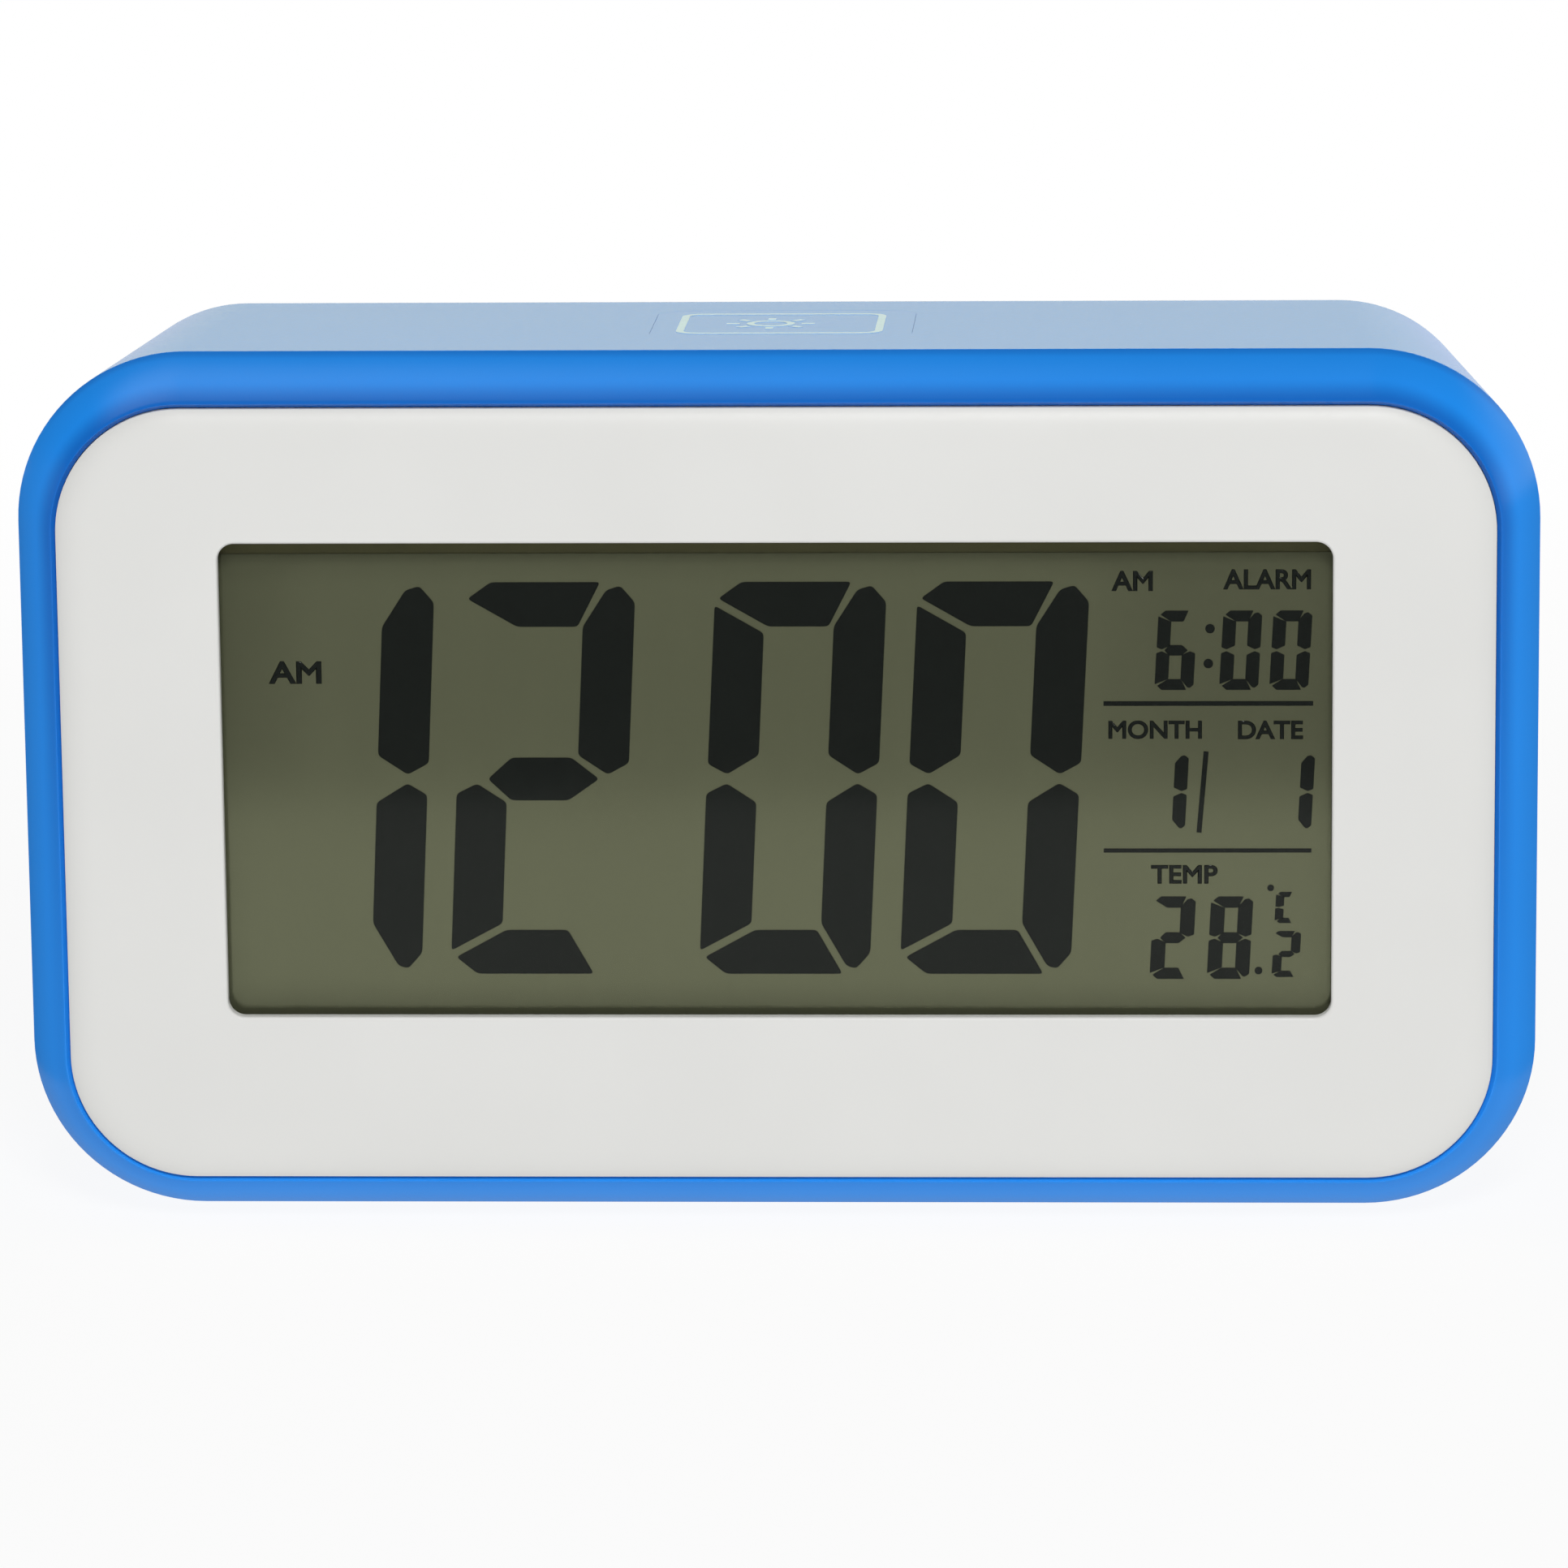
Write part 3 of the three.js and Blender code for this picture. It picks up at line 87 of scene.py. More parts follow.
seat = 0.1 * MM
flow_scale = 45
pore_scale = 2400
pore_depth = 0.04 * MM
white_shade = (0.70, 0.70, 0.682)


def rounded(left, right, low, high, radius, steps=fine_steps):
    """Outline of a rounded rectangle, as a function of how far it grows all round."""

    def outline(grow=0.0):
        bend = max(radius + grow, least_bend)
        reach = bend - grow
        corners = (
            (right - reach, low + reach, -90),
            (right - reach, high - reach, 0),
            (left + reach, high - reach, 90),
            (left + reach, low + reach, 180),
        )
        points = []
        for across, up, start in corners:
            for step in range(steps + 1):
                angle = math.radians(start + 90 * step / steps)
                points.append((across + bend * math.cos(angle), up + bend * math.sin(angle)))
        return points

    return outline


def around(across, up, half_across, half_up, radius, steps=fine_steps):
    """A rounded rectangle about its middle."""
    return rounded(across - half_across, across + half_across, up - half_up, up + half_up, radius, steps)


def disc(across, up, radius, steps=fine_steps):
    return around(across, up, radius, radius, radius, steps)


def inside_box(low, high, inset_x, inset_z, radius, steps=fine_steps):
    """A rounded rectangle set in from a CAD node's box, seen from the front."""
    return rounded(low.x + inset_x, high.x - inset_x, low.z + inset_z, high.z - inset_z, radius, steps)


def upright(across, up, depth):
    return (across, depth, up)


def settle(name, form):
    """An object from a finished bmesh, with its faces turned outwards."""
    bmesh.ops.recalc_face_normals(form, faces=form.faces)
    mesh = bpy.data.meshes.new(name)
    form.to_mesh(mesh)
    form.free()
    piece = bpy.data.objects.new(name, mesh)
    bpy.context.scene.collection.objects.link(piece)
    return piece


def skin(name, surfaces, closed=False):
    """Closed surfaces over rows of points. Open rows get a cap at each end, closed ones form a ring."""
    form = bmesh.new()
    for rows in surfaces:
        made = [[form.verts.new(point) for point in row] for row in rows]
        pairs = list(zip(made, made[1:]))
        if closed:
            pairs.append((made[-1], made[0]))
        else:
            form.faces.new(made[0])
            form.faces.new(made[-1])
        for here, there in pairs:
            for i in range(len(here)):
                form.faces.new((here[i - 1], here[i], there[i], there[i - 1]))
    bmesh.ops.remove_doubles(form, verts=form.verts, dist=weld)
    return settle(name, form)


def sweep(name, stations, plane=upright, closed=False):
    """A skin through outlines. Each station is an outline, how far it grows and its depth."""
    rows = [[plane(u, v, depth) for u, v in outline(grow)] for outline, grow, depth in stations]
    return skin(name, [rows], closed)


def prism(outline, start, end, plane=upright):
    return sweep("prism", [(outline, 0, start), (outline, 0, end)], plane)


def rod(x, z, radius, start, end):
    return prism(disc(x, z, radius), start, end)


def eased(outline, edge, face, out=1, flare=-1, steps=5):
    """Stations of a quarter round that ends on a face: a rounded end, or with flare 1 a hole's mouth."""
    stations = []
    for step in range(steps + 1):
        angle = math.radians(90 * step / steps)
        drop = edge * (1 - math.sin(angle))
        stations.append((outline, flare * edge * (1 - math.cos(angle)), face - out * drop))
    return stations


def bow(start, pull, end, steps):
    """Points of a curve that leaves start and reaches end in line with the pull point."""
    points = []
    for step in range(steps + 1):
        t = step / steps
        shares = ((1 - t) ** 2, 2 * t * (1 - t), t**2)
        points.append([sum(s * p[i] for s, p in zip(shares, (start, pull, end))) for i in (0, 1)])
    return points


def carve(piece, tools, operation="DIFFERENCE"):
    """Cuts the tools out of a piece, or joins them to it, and uses them up."""
    for tool in tools:
        step = piece.modifiers.new(tool.name, "BOOLEAN")
        step.operation = operation
        step.solver = "MANIFOLD"
        step.object = tool
    bpy.context.view_layer.update()
    graph = bpy.context.evaluated_depsgraph_get()
    carved = bpy.data.meshes.new_from_object(piece.evaluated_get(graph))
    piece.modifiers.clear()
    piece.data = carved
    for tool in tools:
        bpy.data.objects.remove(tool)


def smooth(piece, *materials):
    """Shades a piece smoothly up to the sharp angle and gives it its materials."""
    piece.data.shade_smooth()
    piece.data.set_sharp_from_angle(angle=sharp_angle)
    even = piece.modifiers.new("even_normals", "WEIGHTED_NORMAL")
    even.keep_sharp = True
    piece.data.materials.clear()
    for material in materials:
        piece.data.materials.append(material)


def middle(node):
    """Middle of a CAD node's box."""
    low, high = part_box(node)
    return (low + high) / 2


class Socket:
    """An output in a material's node tree. Sums on it add Math nodes."""

    def __init__(self, tree, output=None):
        self.tree = tree
        self.output = output

    def node(self, kind, settings, inputs, output=0):
        """Adds a node, sets it up, fills its sockets and gives one of its outputs."""
        made = self.tree.nodes.new(kind)
        for key, value in settings.items():
            setattr(made, key, value)
        for key, value in inputs.items():
            if isinstance(value, Socket):
                self.tree.links.new(value.output, made.inputs[key])
            else:
                made.inputs[key].default_value = value
        return Socket(self.tree, made.outputs[output] if made.outputs else None)

    def math(self, operation, first, second):
        return self.node("ShaderNodeMath", {"operation": operation}, {0: first, 1: second})

    def __add__(self, other):
        return self.math("ADD", self, other)

    def __sub__(self, other):
        return self.math("SUBTRACT", self, other)

    def __rsub__(self, other):
        return self.math("SUBTRACT", other, self)

    def __mul__(self, other):
        return self.math("MULTIPLY", self, other)

    __radd__ = __add__
    __rmul__ = __mul__

    def over(self, level):
        return self.math("GREATER_THAN", self, level)

    def mix(self, low, high):
        """A colour between two colours, by this value."""
        ends = [c if isinstance(c, Socket) else (*c, 1) for c in (low, high)]
        return self.node("ShaderNodeMix", {"data_type": "RGBA"}, {0: self, 6: ends[0], 7: ends[1]}, 2)

    def times(self, factors):
        """A vector stretched along its axes."""
        return self.node("ShaderNodeVectorMath", {"operation": "MULTIPLY"}, {0: self, 1: factors})

    def axis(self, name):
        return self.node("ShaderNodeSeparateXYZ", {}, {0: self}, name)


def finish(name):
    """A new material, and the place on the part in metres, which starts its nodes."""
    material = bpy.data.materials.new(name)
    material.use_nodes = True
    material.node_tree.nodes.clear()
    return material, Socket(material.node_tree).node("ShaderNodeTexCoord", {}, {}, "Object")


def noise(place, scale, detail=2.0):
    return place.node("ShaderNodeTexNoise", {}, {"Vector": place, "Scale": scale, "Detail": detail})


def coat(place, **sockets):
    """Ends a material in one Principled shader with these sockets."""
    inputs = {key.replace("_", " "): value for key, value in sockets.items()}
    shader = place.node("ShaderNodeBsdfPrincipled", {}, inputs)
    place.node("ShaderNodeOutputMaterial", {}, {"Surface": shader})


def moulded(name, shade, roughness, grain=0.06, ior=1.46, shadow=None):
    """Plastic with faint flow marks in its colour and a fine moulded grain, darker where a shadow lies."""
    material, place = finish(name)
    flow = noise(place, flow_scale, 3)
    pores = noise(place, pore_scale)
    relief = place.node("ShaderNodeBump", {}, {"Strength": grain, "Distance": pore_depth, "Height": pores})
    colour = flow.mix([0.96 * c for c in shade], [1.04 * c for c in shade])
    if shadow:
        colour = shadow(place).mix(colour, [c * c / 3 for c in shade])
    coat(place, Base_Color=colour, Roughness=roughness - 0.05 + 0.1 * pores, IOR=ior, Normal=relief)
    return material


body = rounded(-half_width, half_width, underside, topside, corner_radius, corner_steps)
window = inside_box(lens_low, lens_high, lens_lap, lens_lap, window_radius, corner_steps)
border_end = panel_edge + border_width
border = bow((panel_edge, border_drop), (panel_edge + border_width / 3, 0), (border_end, 0), border_steps)
panel = sweep(
    "white_panel",
    [
        (body, -panel_edge, front + panel_plate),
        *[(body, -inset, front + depth) for inset, depth in border],
        *reversed(eased(window, window_round, front, out=-1, flare=1)),
        (window, 0, front + window_lip),
        (window, lens_lap + lens_fit, front + window_lip),
        (window, lens_lap + lens_fit, front + panel_plate),
        (body, -skirt_inner, front + panel_plate),
        (body, -skirt_inner, front + skirt_depth),
        (body, -skirt_outer, front + skirt_depth),
        (body, -skirt_outer, front + panel_plate),
    ],
    closed=True,
)
bosses = []
pilots = []
for number in range(1, 5):
    for node, boss, pilot, end in (
        (f"housing_screw_{number}", housing_boss, housing_pilot, panel_high.y),
        (f"board_screw_{number}", board_boss, board_pilot, board_front - seat),
    ):
        x, y, z = middle(node)
        bosses.append(rod(x, z, boss, front + panel_plate - seat, end))
        pilots.append(rod(x, z, pilot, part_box(node)[0].y - seat, end + MM))
carve(panel, bosses, "UNION")
carve(panel, pilots)
white_plastic = moulded("white_satin_plastic", white_shade, 0.46)
smooth(panel, white_plastic)
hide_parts("front_panel")
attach(panel, "clock_body")

# Display window
# A clear acrylic plate that sits in the panel's recess from behind. Its edges are broken, and
# it shows the display with only a weak gloss on its front.
lens_edge = 0.15 * MM


def plate(name, outline, start, end, edge, plane=upright):
    """A flat piece between two depths, with its edges rounded."""
    return sweep(name, [*reversed(eased(outline, edge, start, -1)), *eased(outline, edge, end)], plane)


lens_shape = inside_box(lens_low, lens_high, 0, 0, window_radius)
lens = plate("window_lens", lens_shape, lens_low.y, lens_high.y, lens_edge)
clear_window, place = finish("clear_window")
haze = noise(place, 30, 3)
behind = place.node("ShaderNodeNewGeometry", {}, {}, "Backfacing")
shine = place.node("ShaderNodeFresnel", {}, {"IOR": 1.06}) * (1 - behind)
clear = place.node("ShaderNodeBsdfTransparent", {}, {"Color": (0.97, 0.98, 0.96, 1)})
gloss = place.node(
    "ShaderNodeBsdfPrincipled",
    {},
    {"Base Color": haze.mix((0.94, 0.95, 0.95), (1, 1, 1)), "Metallic": 1, "Roughness": 0.03 + 0.05 * haze},
)
pane = place.node("ShaderNodeMixShader", {}, {0: shine, 1: clear, 2: gloss})
place.node("ShaderNodeOutputMaterial", {}, {"Surface": pane})
smooth(lens, clear_window)
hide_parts("display_lens")
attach(lens, "clock_body")

# Display
# Two glass plates, the front one taller so that its edges meet the rubber contact strips. The olive
# film on its front is the picture's ground: part matt, part mirror, like the reflector of such a display.
display_low, display_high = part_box("display_panel")
contact_ledge = 2.2 * MM
glass_edge = 0.1 * MM
film_inset = 1.0 * MM
film_radius = 0.4 * MM
# The film stops this far under the window's edge so that the dark glass above it shows as a painted shadow
# band.
film_top = 61.3 * MM
film_depth = 0.06 * MM
film_shade = (0.139, 0.142, 0.093)
end_shadow = 0.55
rim_shadow = 0.6
left_light = (-48 * MM, -39 * MM)
right_light = (24 * MM, 36 * MM)
lower_light = (19.5 * MM, 23 * MM)
upper_light = (58 * MM, film_top)
end_rise = (36 * MM, 45 * MM)
glass_middle = (display_low.y + display_high.y) / 2
front_glass = inside_box(display_low, display_high, 0, 0, glass_edge)
rear_glass = inside_box(display_low, display_high, 0, contact_ledge, glass_edge)
glass = sweep(
    "display_glass",
    [
        *reversed(eased(front_glass, glass_edge, display_low.y, -1)),
        (front_glass, 0, glass_middle),
        (rear_glass, 0, glass_middle),
        *eased(rear_glass, glass_edge, display_high.y),
    ],
)
# Dark brown glass: where it shows past the film, it is a painted shadow band under the lip and thin painted
# shade round the film, added to the lip's real shadow.
painted_shade_glass, place = finish("display_glass")
tint = noise(place, 60)
coat(
    place,
    Base_Color=tint.mix((0.074, 0.070, 0.034), (0.088, 0.083, 0.042)),
    Roughness=0.3 + 0.1 * tint,
    Specular_IOR_Level=0.1,
)
smooth(glass, painted_shade_glass)
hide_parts("display_panel")
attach(glass, "clock_body")

film_left = display_low.x + film_inset
film_right = display_high.x - film_inset
film_shape = rounded(film_left, film_right, display_low.z + film_inset, film_top, film_radius)
film_front = display_low.y - film_depth


def ramp(value, start, end, low=0.0, high=1.0):
    """Goes smoothly from low at start to high at end."""
    settings = {"interpolation_type": "SMOOTHSTEP"}
    inputs = {"Value": value, "From Min": start, "From Max": end, "To Min": low, "To Max": high}
    return value.node("ShaderNodeMapRange", settings, inputs)


def lip_shadow(place):
    """Darkens the film under the window's lip and at both ends of its upper half."""
    across = place.axis("X")
    height = place.axis("Z")
    lit_width = ramp(across, *left_light) * ramp(across, *right_light, 1, 0)
    lit_height = ramp(height, *lower_light) * ramp(height, *upper_light, 1, 0)
    return end_shadow * (1 - lit_width) * ramp(height, *end_rise) + rim_shadow * (1 - lit_height)


film = plate("display_film", film_shape, film_front, display_low.y, film_depth / 3)
film_finish, place = finish("olive_display_film")
streaks = noise(place.times((260, 1, 40)), 1.0, 3)
cloud = noise(place, 25)
tone = 0.6 + 0.2 * streaks + 0.2 * cloud - lip_shadow(place)
coat(
    place,
    Base_Color=tone.mix([0.8 * c for c in film_shade], [1.05 * c for c in film_shade]),
    Metallic=0.45,
    Roughness=0.09 + 0.05 * streaks,
    Specular_IOR_Level=0.1,
)
smooth(film, film_finish)
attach(film, "clock_body")

# Lit segments
# The dark figures of the display: plain seven-segment digits for the time, the alarm, the date and the
# room temperature, with dividing lines. Each is a thin raised shape on the film, as wide as it shows.
ink = 0.03 * MM
lean = 0.05
half_cell = Vector((7.6, 17.83))
time_level = 40.875 * MM
corner_cut = 0.35 * MM
most_cut = 0.4
small_weight = 1.25
degree_weight = 1.6
segments = {
    "a": ((-7.2, 16.33), (-5.2, 17.83), (4.5, 17.83), (2.65, 13.8), (-2.7, 13.8)),
    "b": ((7.65, 16.0), (6.3, 17.5), (5.05, 17.1), (3.1, 13.8), (3.1, 2.15), (5.8, 0.4), (7.65, 1.45)),
    "c": ((7.6, -15.9), (6.4, -17.35), (5.5, -17.1), (3.1, -13.2), (3.1, -2.15), (5.8, -0.4), (7.6, -1.45)),
    "d": ((-7.15, -16.3), (-5.2, -17.83), (5.2, -17.83), (2.75, -13.8), (-2.75, -13.8)),
    "e": ((-7.6, -15.7), (-3.1, -13.2), (-3.1, -2.15), (-5.8, -0.42), (-7.6, -1.35)),
    "f": ((-7.5, 15.7), (-3.05, 13.2), (-3.05, 2.15), (-5.8, 0.42), (-7.55, 1.35)),
    "g": ((-4.85, 0), (-2.8, 1.95), (2.5, 1.95), (5.05, 0), (2.4, -1.95), (-2.7, -1.95)),
}
lit = {"0": "abcdef", "1": "bc", "2": "abdeg", "6": "acdefg", "8": "abcdefg", "C": "adef"}


def softened(points, radius, steps=3):
    """An outline with each corner cut back and rounded."""
    outline = []
    for i, corner in enumerate(points):
        ends = []
        for other in (points[i - 1], points[(i + 1) % len(points)]):
            share = min(radius / math.dist(corner, other), most_cut)
            ends.append([c + share * (o - c) for c, o in zip(corner, other)])
        outline += bow(ends[0], corner, ends[1], steps)
    return outline


def figure(sign, x, z, width, height, weight=1.0):
    """Outlines of one digit's lit segments about its middle, each made broader by the weight."""
    across = width / 2 / half_cell.x
    up = height / 2 / half_cell.y
    shapes = []
    for segment in lit[sign]:
        points = segments[segment]
        low = [min(c) for c in zip(*points)]
        high = [max(c) for c in zip(*points)]
        slim = 0 if high[0] - low[0] < high[1] - low[1] else 1
        mid = (low[slim] + high[slim]) / 2
        grown = [[mid + weight * (c - mid) if i == slim else c for i, c in enumerate(p)] for p in points]
        placed = [(x + across * u + lean * up * v, z + up * v) for u, v in grown]
        shapes.append(softened(placed, corner_cut * across / MM))
    return shapes


def bar(start, end, width):
    """A straight line of a display or print, as a thin four-sided outline."""
    run = Vector(end) - Vector(start)
    side = Vector((-run.y, run.x)).normalized() * width / 2
    return [tuple(Vector(p) + s) for p, s in ((start, side), (start, -side), (end, -side), (end, side))]


def inlay(name, shapes, plane, base, top):
    """Thin raised shapes, each a prism on its outline."""
    prisms = [[[plane(u, v, depth) for u, v in shape] for depth in (base, top)] for shape in shapes]
    return skin(name, prisms)


time_figures = []
for sign, x in (("1", -38.63), ("2", -20.83), ("0", 1.37), ("0", 19.25)):
    time_figures += figure(sign, x * MM, time_level, *(2 * half_cell * MM))
small_figures = []
for sign, x, z, width, height in (
    ("6", 35.34, 52.48, 3.2, 6.96),
    ("0", 41.05, 52.48, 3.2, 6.96),
    ("0", 45.46, 52.48, 3.2, 6.96),
    ("1", 34.6, 39.65, 3.2, 6.8),
    ("1", 45.75, 39.65, 3.2, 6.8),
    ("2", 35.06, 26.36, 3.5, 7.35),
    ("8", 40.15, 26.36, 3.5, 7.35),
    ("2", 45.15, 24.87, 2.25, 4.1),
    ("C", 45.1, 29.13, 1.6, 2.67),
):
    weight = degree_weight if sign == "C" else small_weight
    small_figures += figure(sign, x * MM, z * MM, width * MM, height * MM, weight)
for x, z, size in ((38.35, 54.43, 0.85), (38.2, 51.28, 0.85), (42.69, 23.35, 0.7), (43.75, 30.92, 0.6)):
    dot = disc(x * MM, z * MM, size * MM / 2)
    small_figures.append(dot())
for start, end, width in (
    ((28.95, 47.68), (47.45, 47.68), 0.42),
    ((28.95, 34.33), (47.35, 34.33), 0.38),
    ((37.39, 35.96), (38.02, 43.34), 0.45),
):
    small_figures.append(bar([c * MM for c in start], [c * MM for c in end], width * MM))
segment_finish, place = finish("display_segment")
grain = noise(place, 300)
coat(
    place,
    Base_Color=grain.mix((0.0055, 0.0068, 0.0062), (0.0070, 0.0086, 0.0080)),
    Roughness=0.06 + 0.04 * grain,
    Specular_IOR_Level=0.21,
)
for name, shapes in (("time_figures", time_figures), ("small_figures", small_figures)):
    piece = inlay(name, shapes, upright, film_front, film_front - ink)
    piece.data.materials.append(segment_finish)
    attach(piece, "clock_body")

# Display words
# Plain function words beside the figures, set in the built-in sans face, in the same dark tone.
# They say what each figure is, as ON and OFF do on a switch.
word_weight = 0.029
form = bmesh.new()
for word, left, right, low, high in (
    ("AM", -45.0, -40.28, 49.54, 51.59),
    ("AM", 29.66, 33.32, 57.82, 59.64),
    ("ALARM", 39.49, 47.22, 57.95, 59.76),
    ("MONTH", 29.38, 37.65, 44.46, 46.14),
    ("DATE", 40.82, 46.57, 44.44, 46.12),
    ("TEMP", 33.14, 39.05, 31.3, 33.0),
):
    curve = bpy.data.curves.new(word, "FONT")
    curve.body = word
    curve.bevel_depth = word_weight
    curve.bevel_resolution = 0
    text = bpy.data.objects.new(word, curve)
    bpy.context.scene.collection.objects.link(text)
    bpy.context.view_layer.update()
    letters = bpy.data.meshes.new_from_object(text.evaluated_get(bpy.context.evaluated_depsgraph_get()))
    xs = [vertex.co.x for vertex in letters.vertices]
    ys = [vertex.co.y for vertex in letters.vertices]
    for vertex in letters.vertices:
        x, y, z = vertex.co
        across = (left + (right - left) * (x - min(xs)) / (max(xs) - min(xs))) * MM
        up = (low + (high - low) * (y - min(ys)) / (max(ys) - min(ys))) * MM
        vertex.co = (across, film_front - ink / 2 * (1 + z / word_weight), up)
    form.from_mesh(letters)
    bpy.data.objects.remove(text)
words = settle("display_words", form)
words.data.materials.append(segment_finish)
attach(words, "clock_body")

# Light guide, reflector, lamps, frame and contact strips
# What stands behind the glass: a clear guide lit from both ends by small lamps, a white sheet, and the
# white frame that holds the stack. Two zebra strips of rubber carry the signals from board to glass.


def dress(material, *nodes):
    """Gives CAD pieces their finish."""
    for node in nodes:
        for slot in frame["nodes"][node].material_slots:
            slot.material = material


guide_finish, place = finish("guide_acrylic")
frosting = noise(place, 900)
coat(
    place,
    Base_Color=frosting.mix((0.72, 0.75, 0.73), (0.82, 0.84, 0.82)),
    Roughness=0.12 + 0.2 * frosting,
    Coat_Weight=0.4 * frosting,
)
dress(guide_finish, "light_guide")
dress(white_plastic, "reflector_sheet", "backlight_led_left", "backlight_led_right", "display_frame")
zebra, place = finish("zebra_rubber")
layers = place.node("ShaderNodeTexWave", {}, {"Vector": place, "Scale": 900.0, "Distortion": 0.2}, "Fac")
coat(place, Base_Color=layers.mix((0.012, 0.012, 0.013), (0.42, 0.40, 0.37)), Roughness=0.7 + 0.15 * layers)
dress(zebra, "contact_strip_lower", "contact_strip_upper")

# Main board
# A green glass-fibre board with tinned pads. It carries the chip under its black drop of resin, the
# crystal's steel can and the thermistor bead, and four screws hold it to the panel's bosses.
track_cell = 2.6 * MM
track_level = 0.62
pad_size = 0.16


def circuit(name):
    """Green solder mask with paler tracks below it and tinned pads."""
    material, place = finish(name)
    flat = place.times([1 / track_cell] * 3)
    wander = noise(flat, 0.35, 1) * 6
    waves = place.node("ShaderNodeTexWave", {}, {"Vector": flat, "Scale": 0.9, "Distortion": 6.0}, "Fac")
    cells = place.node("ShaderNodeTexVoronoi", {}, {"Vector": flat, "Scale": 0.55}, "Distance")
    pad = 1 - cells.over(pad_size)
    mask = (0.3 * waves.over(track_level) + 0.05 * wander).mix((0.012, 0.075, 0.025), (0.05, 0.26, 0.09))
    coat(
        place,
        Base_Color=pad.mix(mask, (0.62, 0.62, 0.60)),
        Metallic=0.9 * pad,
        Roughness=0.42 - 0.1 * pad,
    )
    return material


dress(circuit("green_laminate"), "main_board", "key_board", "snooze_board")
black_plastic = moulded("black_plastic", (0.012, 0.0125, 0.0135), 0.4)
dress(black_plastic, "chip_blob", "thermistor")


def metal(name, shade, roughness, stretch=(40, 900, 900)):
    """Drawn or plated metal with fine lines along one axis."""
    material, place = finish(name)
    lines = noise(place.times(stretch), 1.0, 3)
    colour = lines.mix([0.85 * c for c in shade], [min(1.1 * c, 1) for c in shade])
    coat(place, Base_Color=colour, Metallic=1, Roughness=roughness - 0.08 + 0.16 * lines)
    return material


steel = metal("plated_steel", (0.60, 0.60, 0.61), 0.3)
dress(steel, "crystal")
dress(steel, *[f"board_screw_{number}" for number in range(1, 5)])

# Front ring
# The blue bevelled ring between the white panel and the case, moulded in gloss ABS. Its bevel rises
# from the panel to a crest where the case begins, and its tongue plugs into the case.
ring_width = 4.0 * MM
ring_land = 0.4 * MM
ring_edge = 0.04 * MM
land_slope = 1.5
ring_crown = 0.25 * MM
bevel_steps = 14
edge_steps = 4
ring_shelf = 1.6 * MM
shelf_front = 2.3 * MM
shelf_back = 4.1 * MM
tongue_length = 3.0 * MM
tongue_outer = 2.7 * MM
shadow_width = 2.4 * MM
panel_shadow = (0.1, 0.55)
crest_width = 1.2 * MM
crest_shadow = 0.3
blue_shade = (0.013, 0.29, 0.94)
crest = ring_high.y - tongue_length - front
inner_edge = Vector((ring_width - ring_land, border_drop))
chord = Vector((0, crest)) - inner_edge
swell = Vector((-chord.y, chord.x)).normalized() * 2 * ring_crown
bevel = bow(inner_edge, inner_edge + chord / 2 + swell, inner_edge + chord, bevel_steps)
land = Vector((1, land_slope))
ring_face = [
    inner_edge + ring_land * land,
    *bow(inner_edge + ring_edge * land, inner_edge, bevel[1], edge_steps),
    *bevel[2:],
]
ring = sweep(
    "blue_ring",
    [
        (body, -ring_width, front + shelf_front),
        *[(body, -inset, front + depth) for inset, depth in ring_face],
        (body, -tongue_outer, front + crest),
        (body, -tongue_outer, ring_high.y),
        (body, -ring_width, ring_high.y),
        (body, -ring_width, front + shelf_back),
        (body, -ring_width - ring_shelf, front + shelf_back),
        (body, -ring_width - ring_shelf, front + shelf_front),
    ],
    closed=True,
)


def joint_shadow(place):
    """Darkens the ring's bevel beside the panel, and at its crest along the top."""
    depth = place.axis("Y")
    height = place.axis("Z")
    beside_panel = ramp(depth, front + border_drop, front + border_drop + shadow_width, 1, 0)
    at_crest = ramp(depth, front + crest - crest_width, front + crest, 0, crest_shadow)
    along_top = ramp(height, topside - corner_radius / 2, topside - ring_width)
    return beside_panel * ramp(height, underside, topside, *panel_shadow) + at_crest * along_top


blue_plastic = moulded("blue_gloss_plastic", blue_shade, 0.24, 0.03, 1.5)
ring_plastic = moulded("blue_ring_plastic", blue_shade, 0.24, 0.03, 1.5, joint_shadow)
smooth(ring, ring_plastic)
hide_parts("front_ring")
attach(ring, "clock_body")

# Rear case
# The blue shell: it tapers to a rounded back edge. Inside stand the cell bay, the ledge of its door,
# the screw posts, the bosses of the two key boards and the buzzer's seat. The mouths in its back and top
# are eased.
case_low, case_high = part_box("rear_case")
door_low, door_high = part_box("battery_door")
key_low, key_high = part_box("snooze_key")
cells = [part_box(f"battery_{number}") for number in (1, 2, 3)]
case_front = case_low.y
back = case_high.y
top_taper = 2.0 * MM
side_taper = 3.8 * MM
rear_round = 2.5 * MM
rear_steps = 9
seam_round = 0.2 * MM
wall = 2.0 * MM
play = 0.3 * MM
mouth_round = 0.25 * MM
inner_round = 0.4 * MM
bay_wall = 1.5 * MM
end_room = 0.6 * MM
side_room = 0.2 * MM
bay_half = cells[0][1].x + end_room
bay_low = cells[0][0].z - side_room
bay_high = cells[2][1].z + side_room
bay_floor = cells[0][0].y - play
hook_drop = 1.8 * MM
latch_nib = 0.8 * MM
latch_half = 5.5 * MM
door_thickness = 1.8 * MM
door_radius = 2.0 * MM
ledge = back - door_thickness - seat
ledge_plate = 1.6 * MM
hook_spread = 15 * MM
hook_half = 3 * MM
hook_lip = 1.2 * MM
swing_steps = 24
contact_inner = cells[0][1].x + seat
contact_thickness = 0.4 * MM
contact_tab_half = 1.5 * MM
tab_hole_round = 0.1 * MM
post_radius = 4.2 * MM
post_floor = 2.0 * MM
post_front = panel_high.y + seat
shank_hole = 1.6 * MM
head_hole = 2.8 * MM
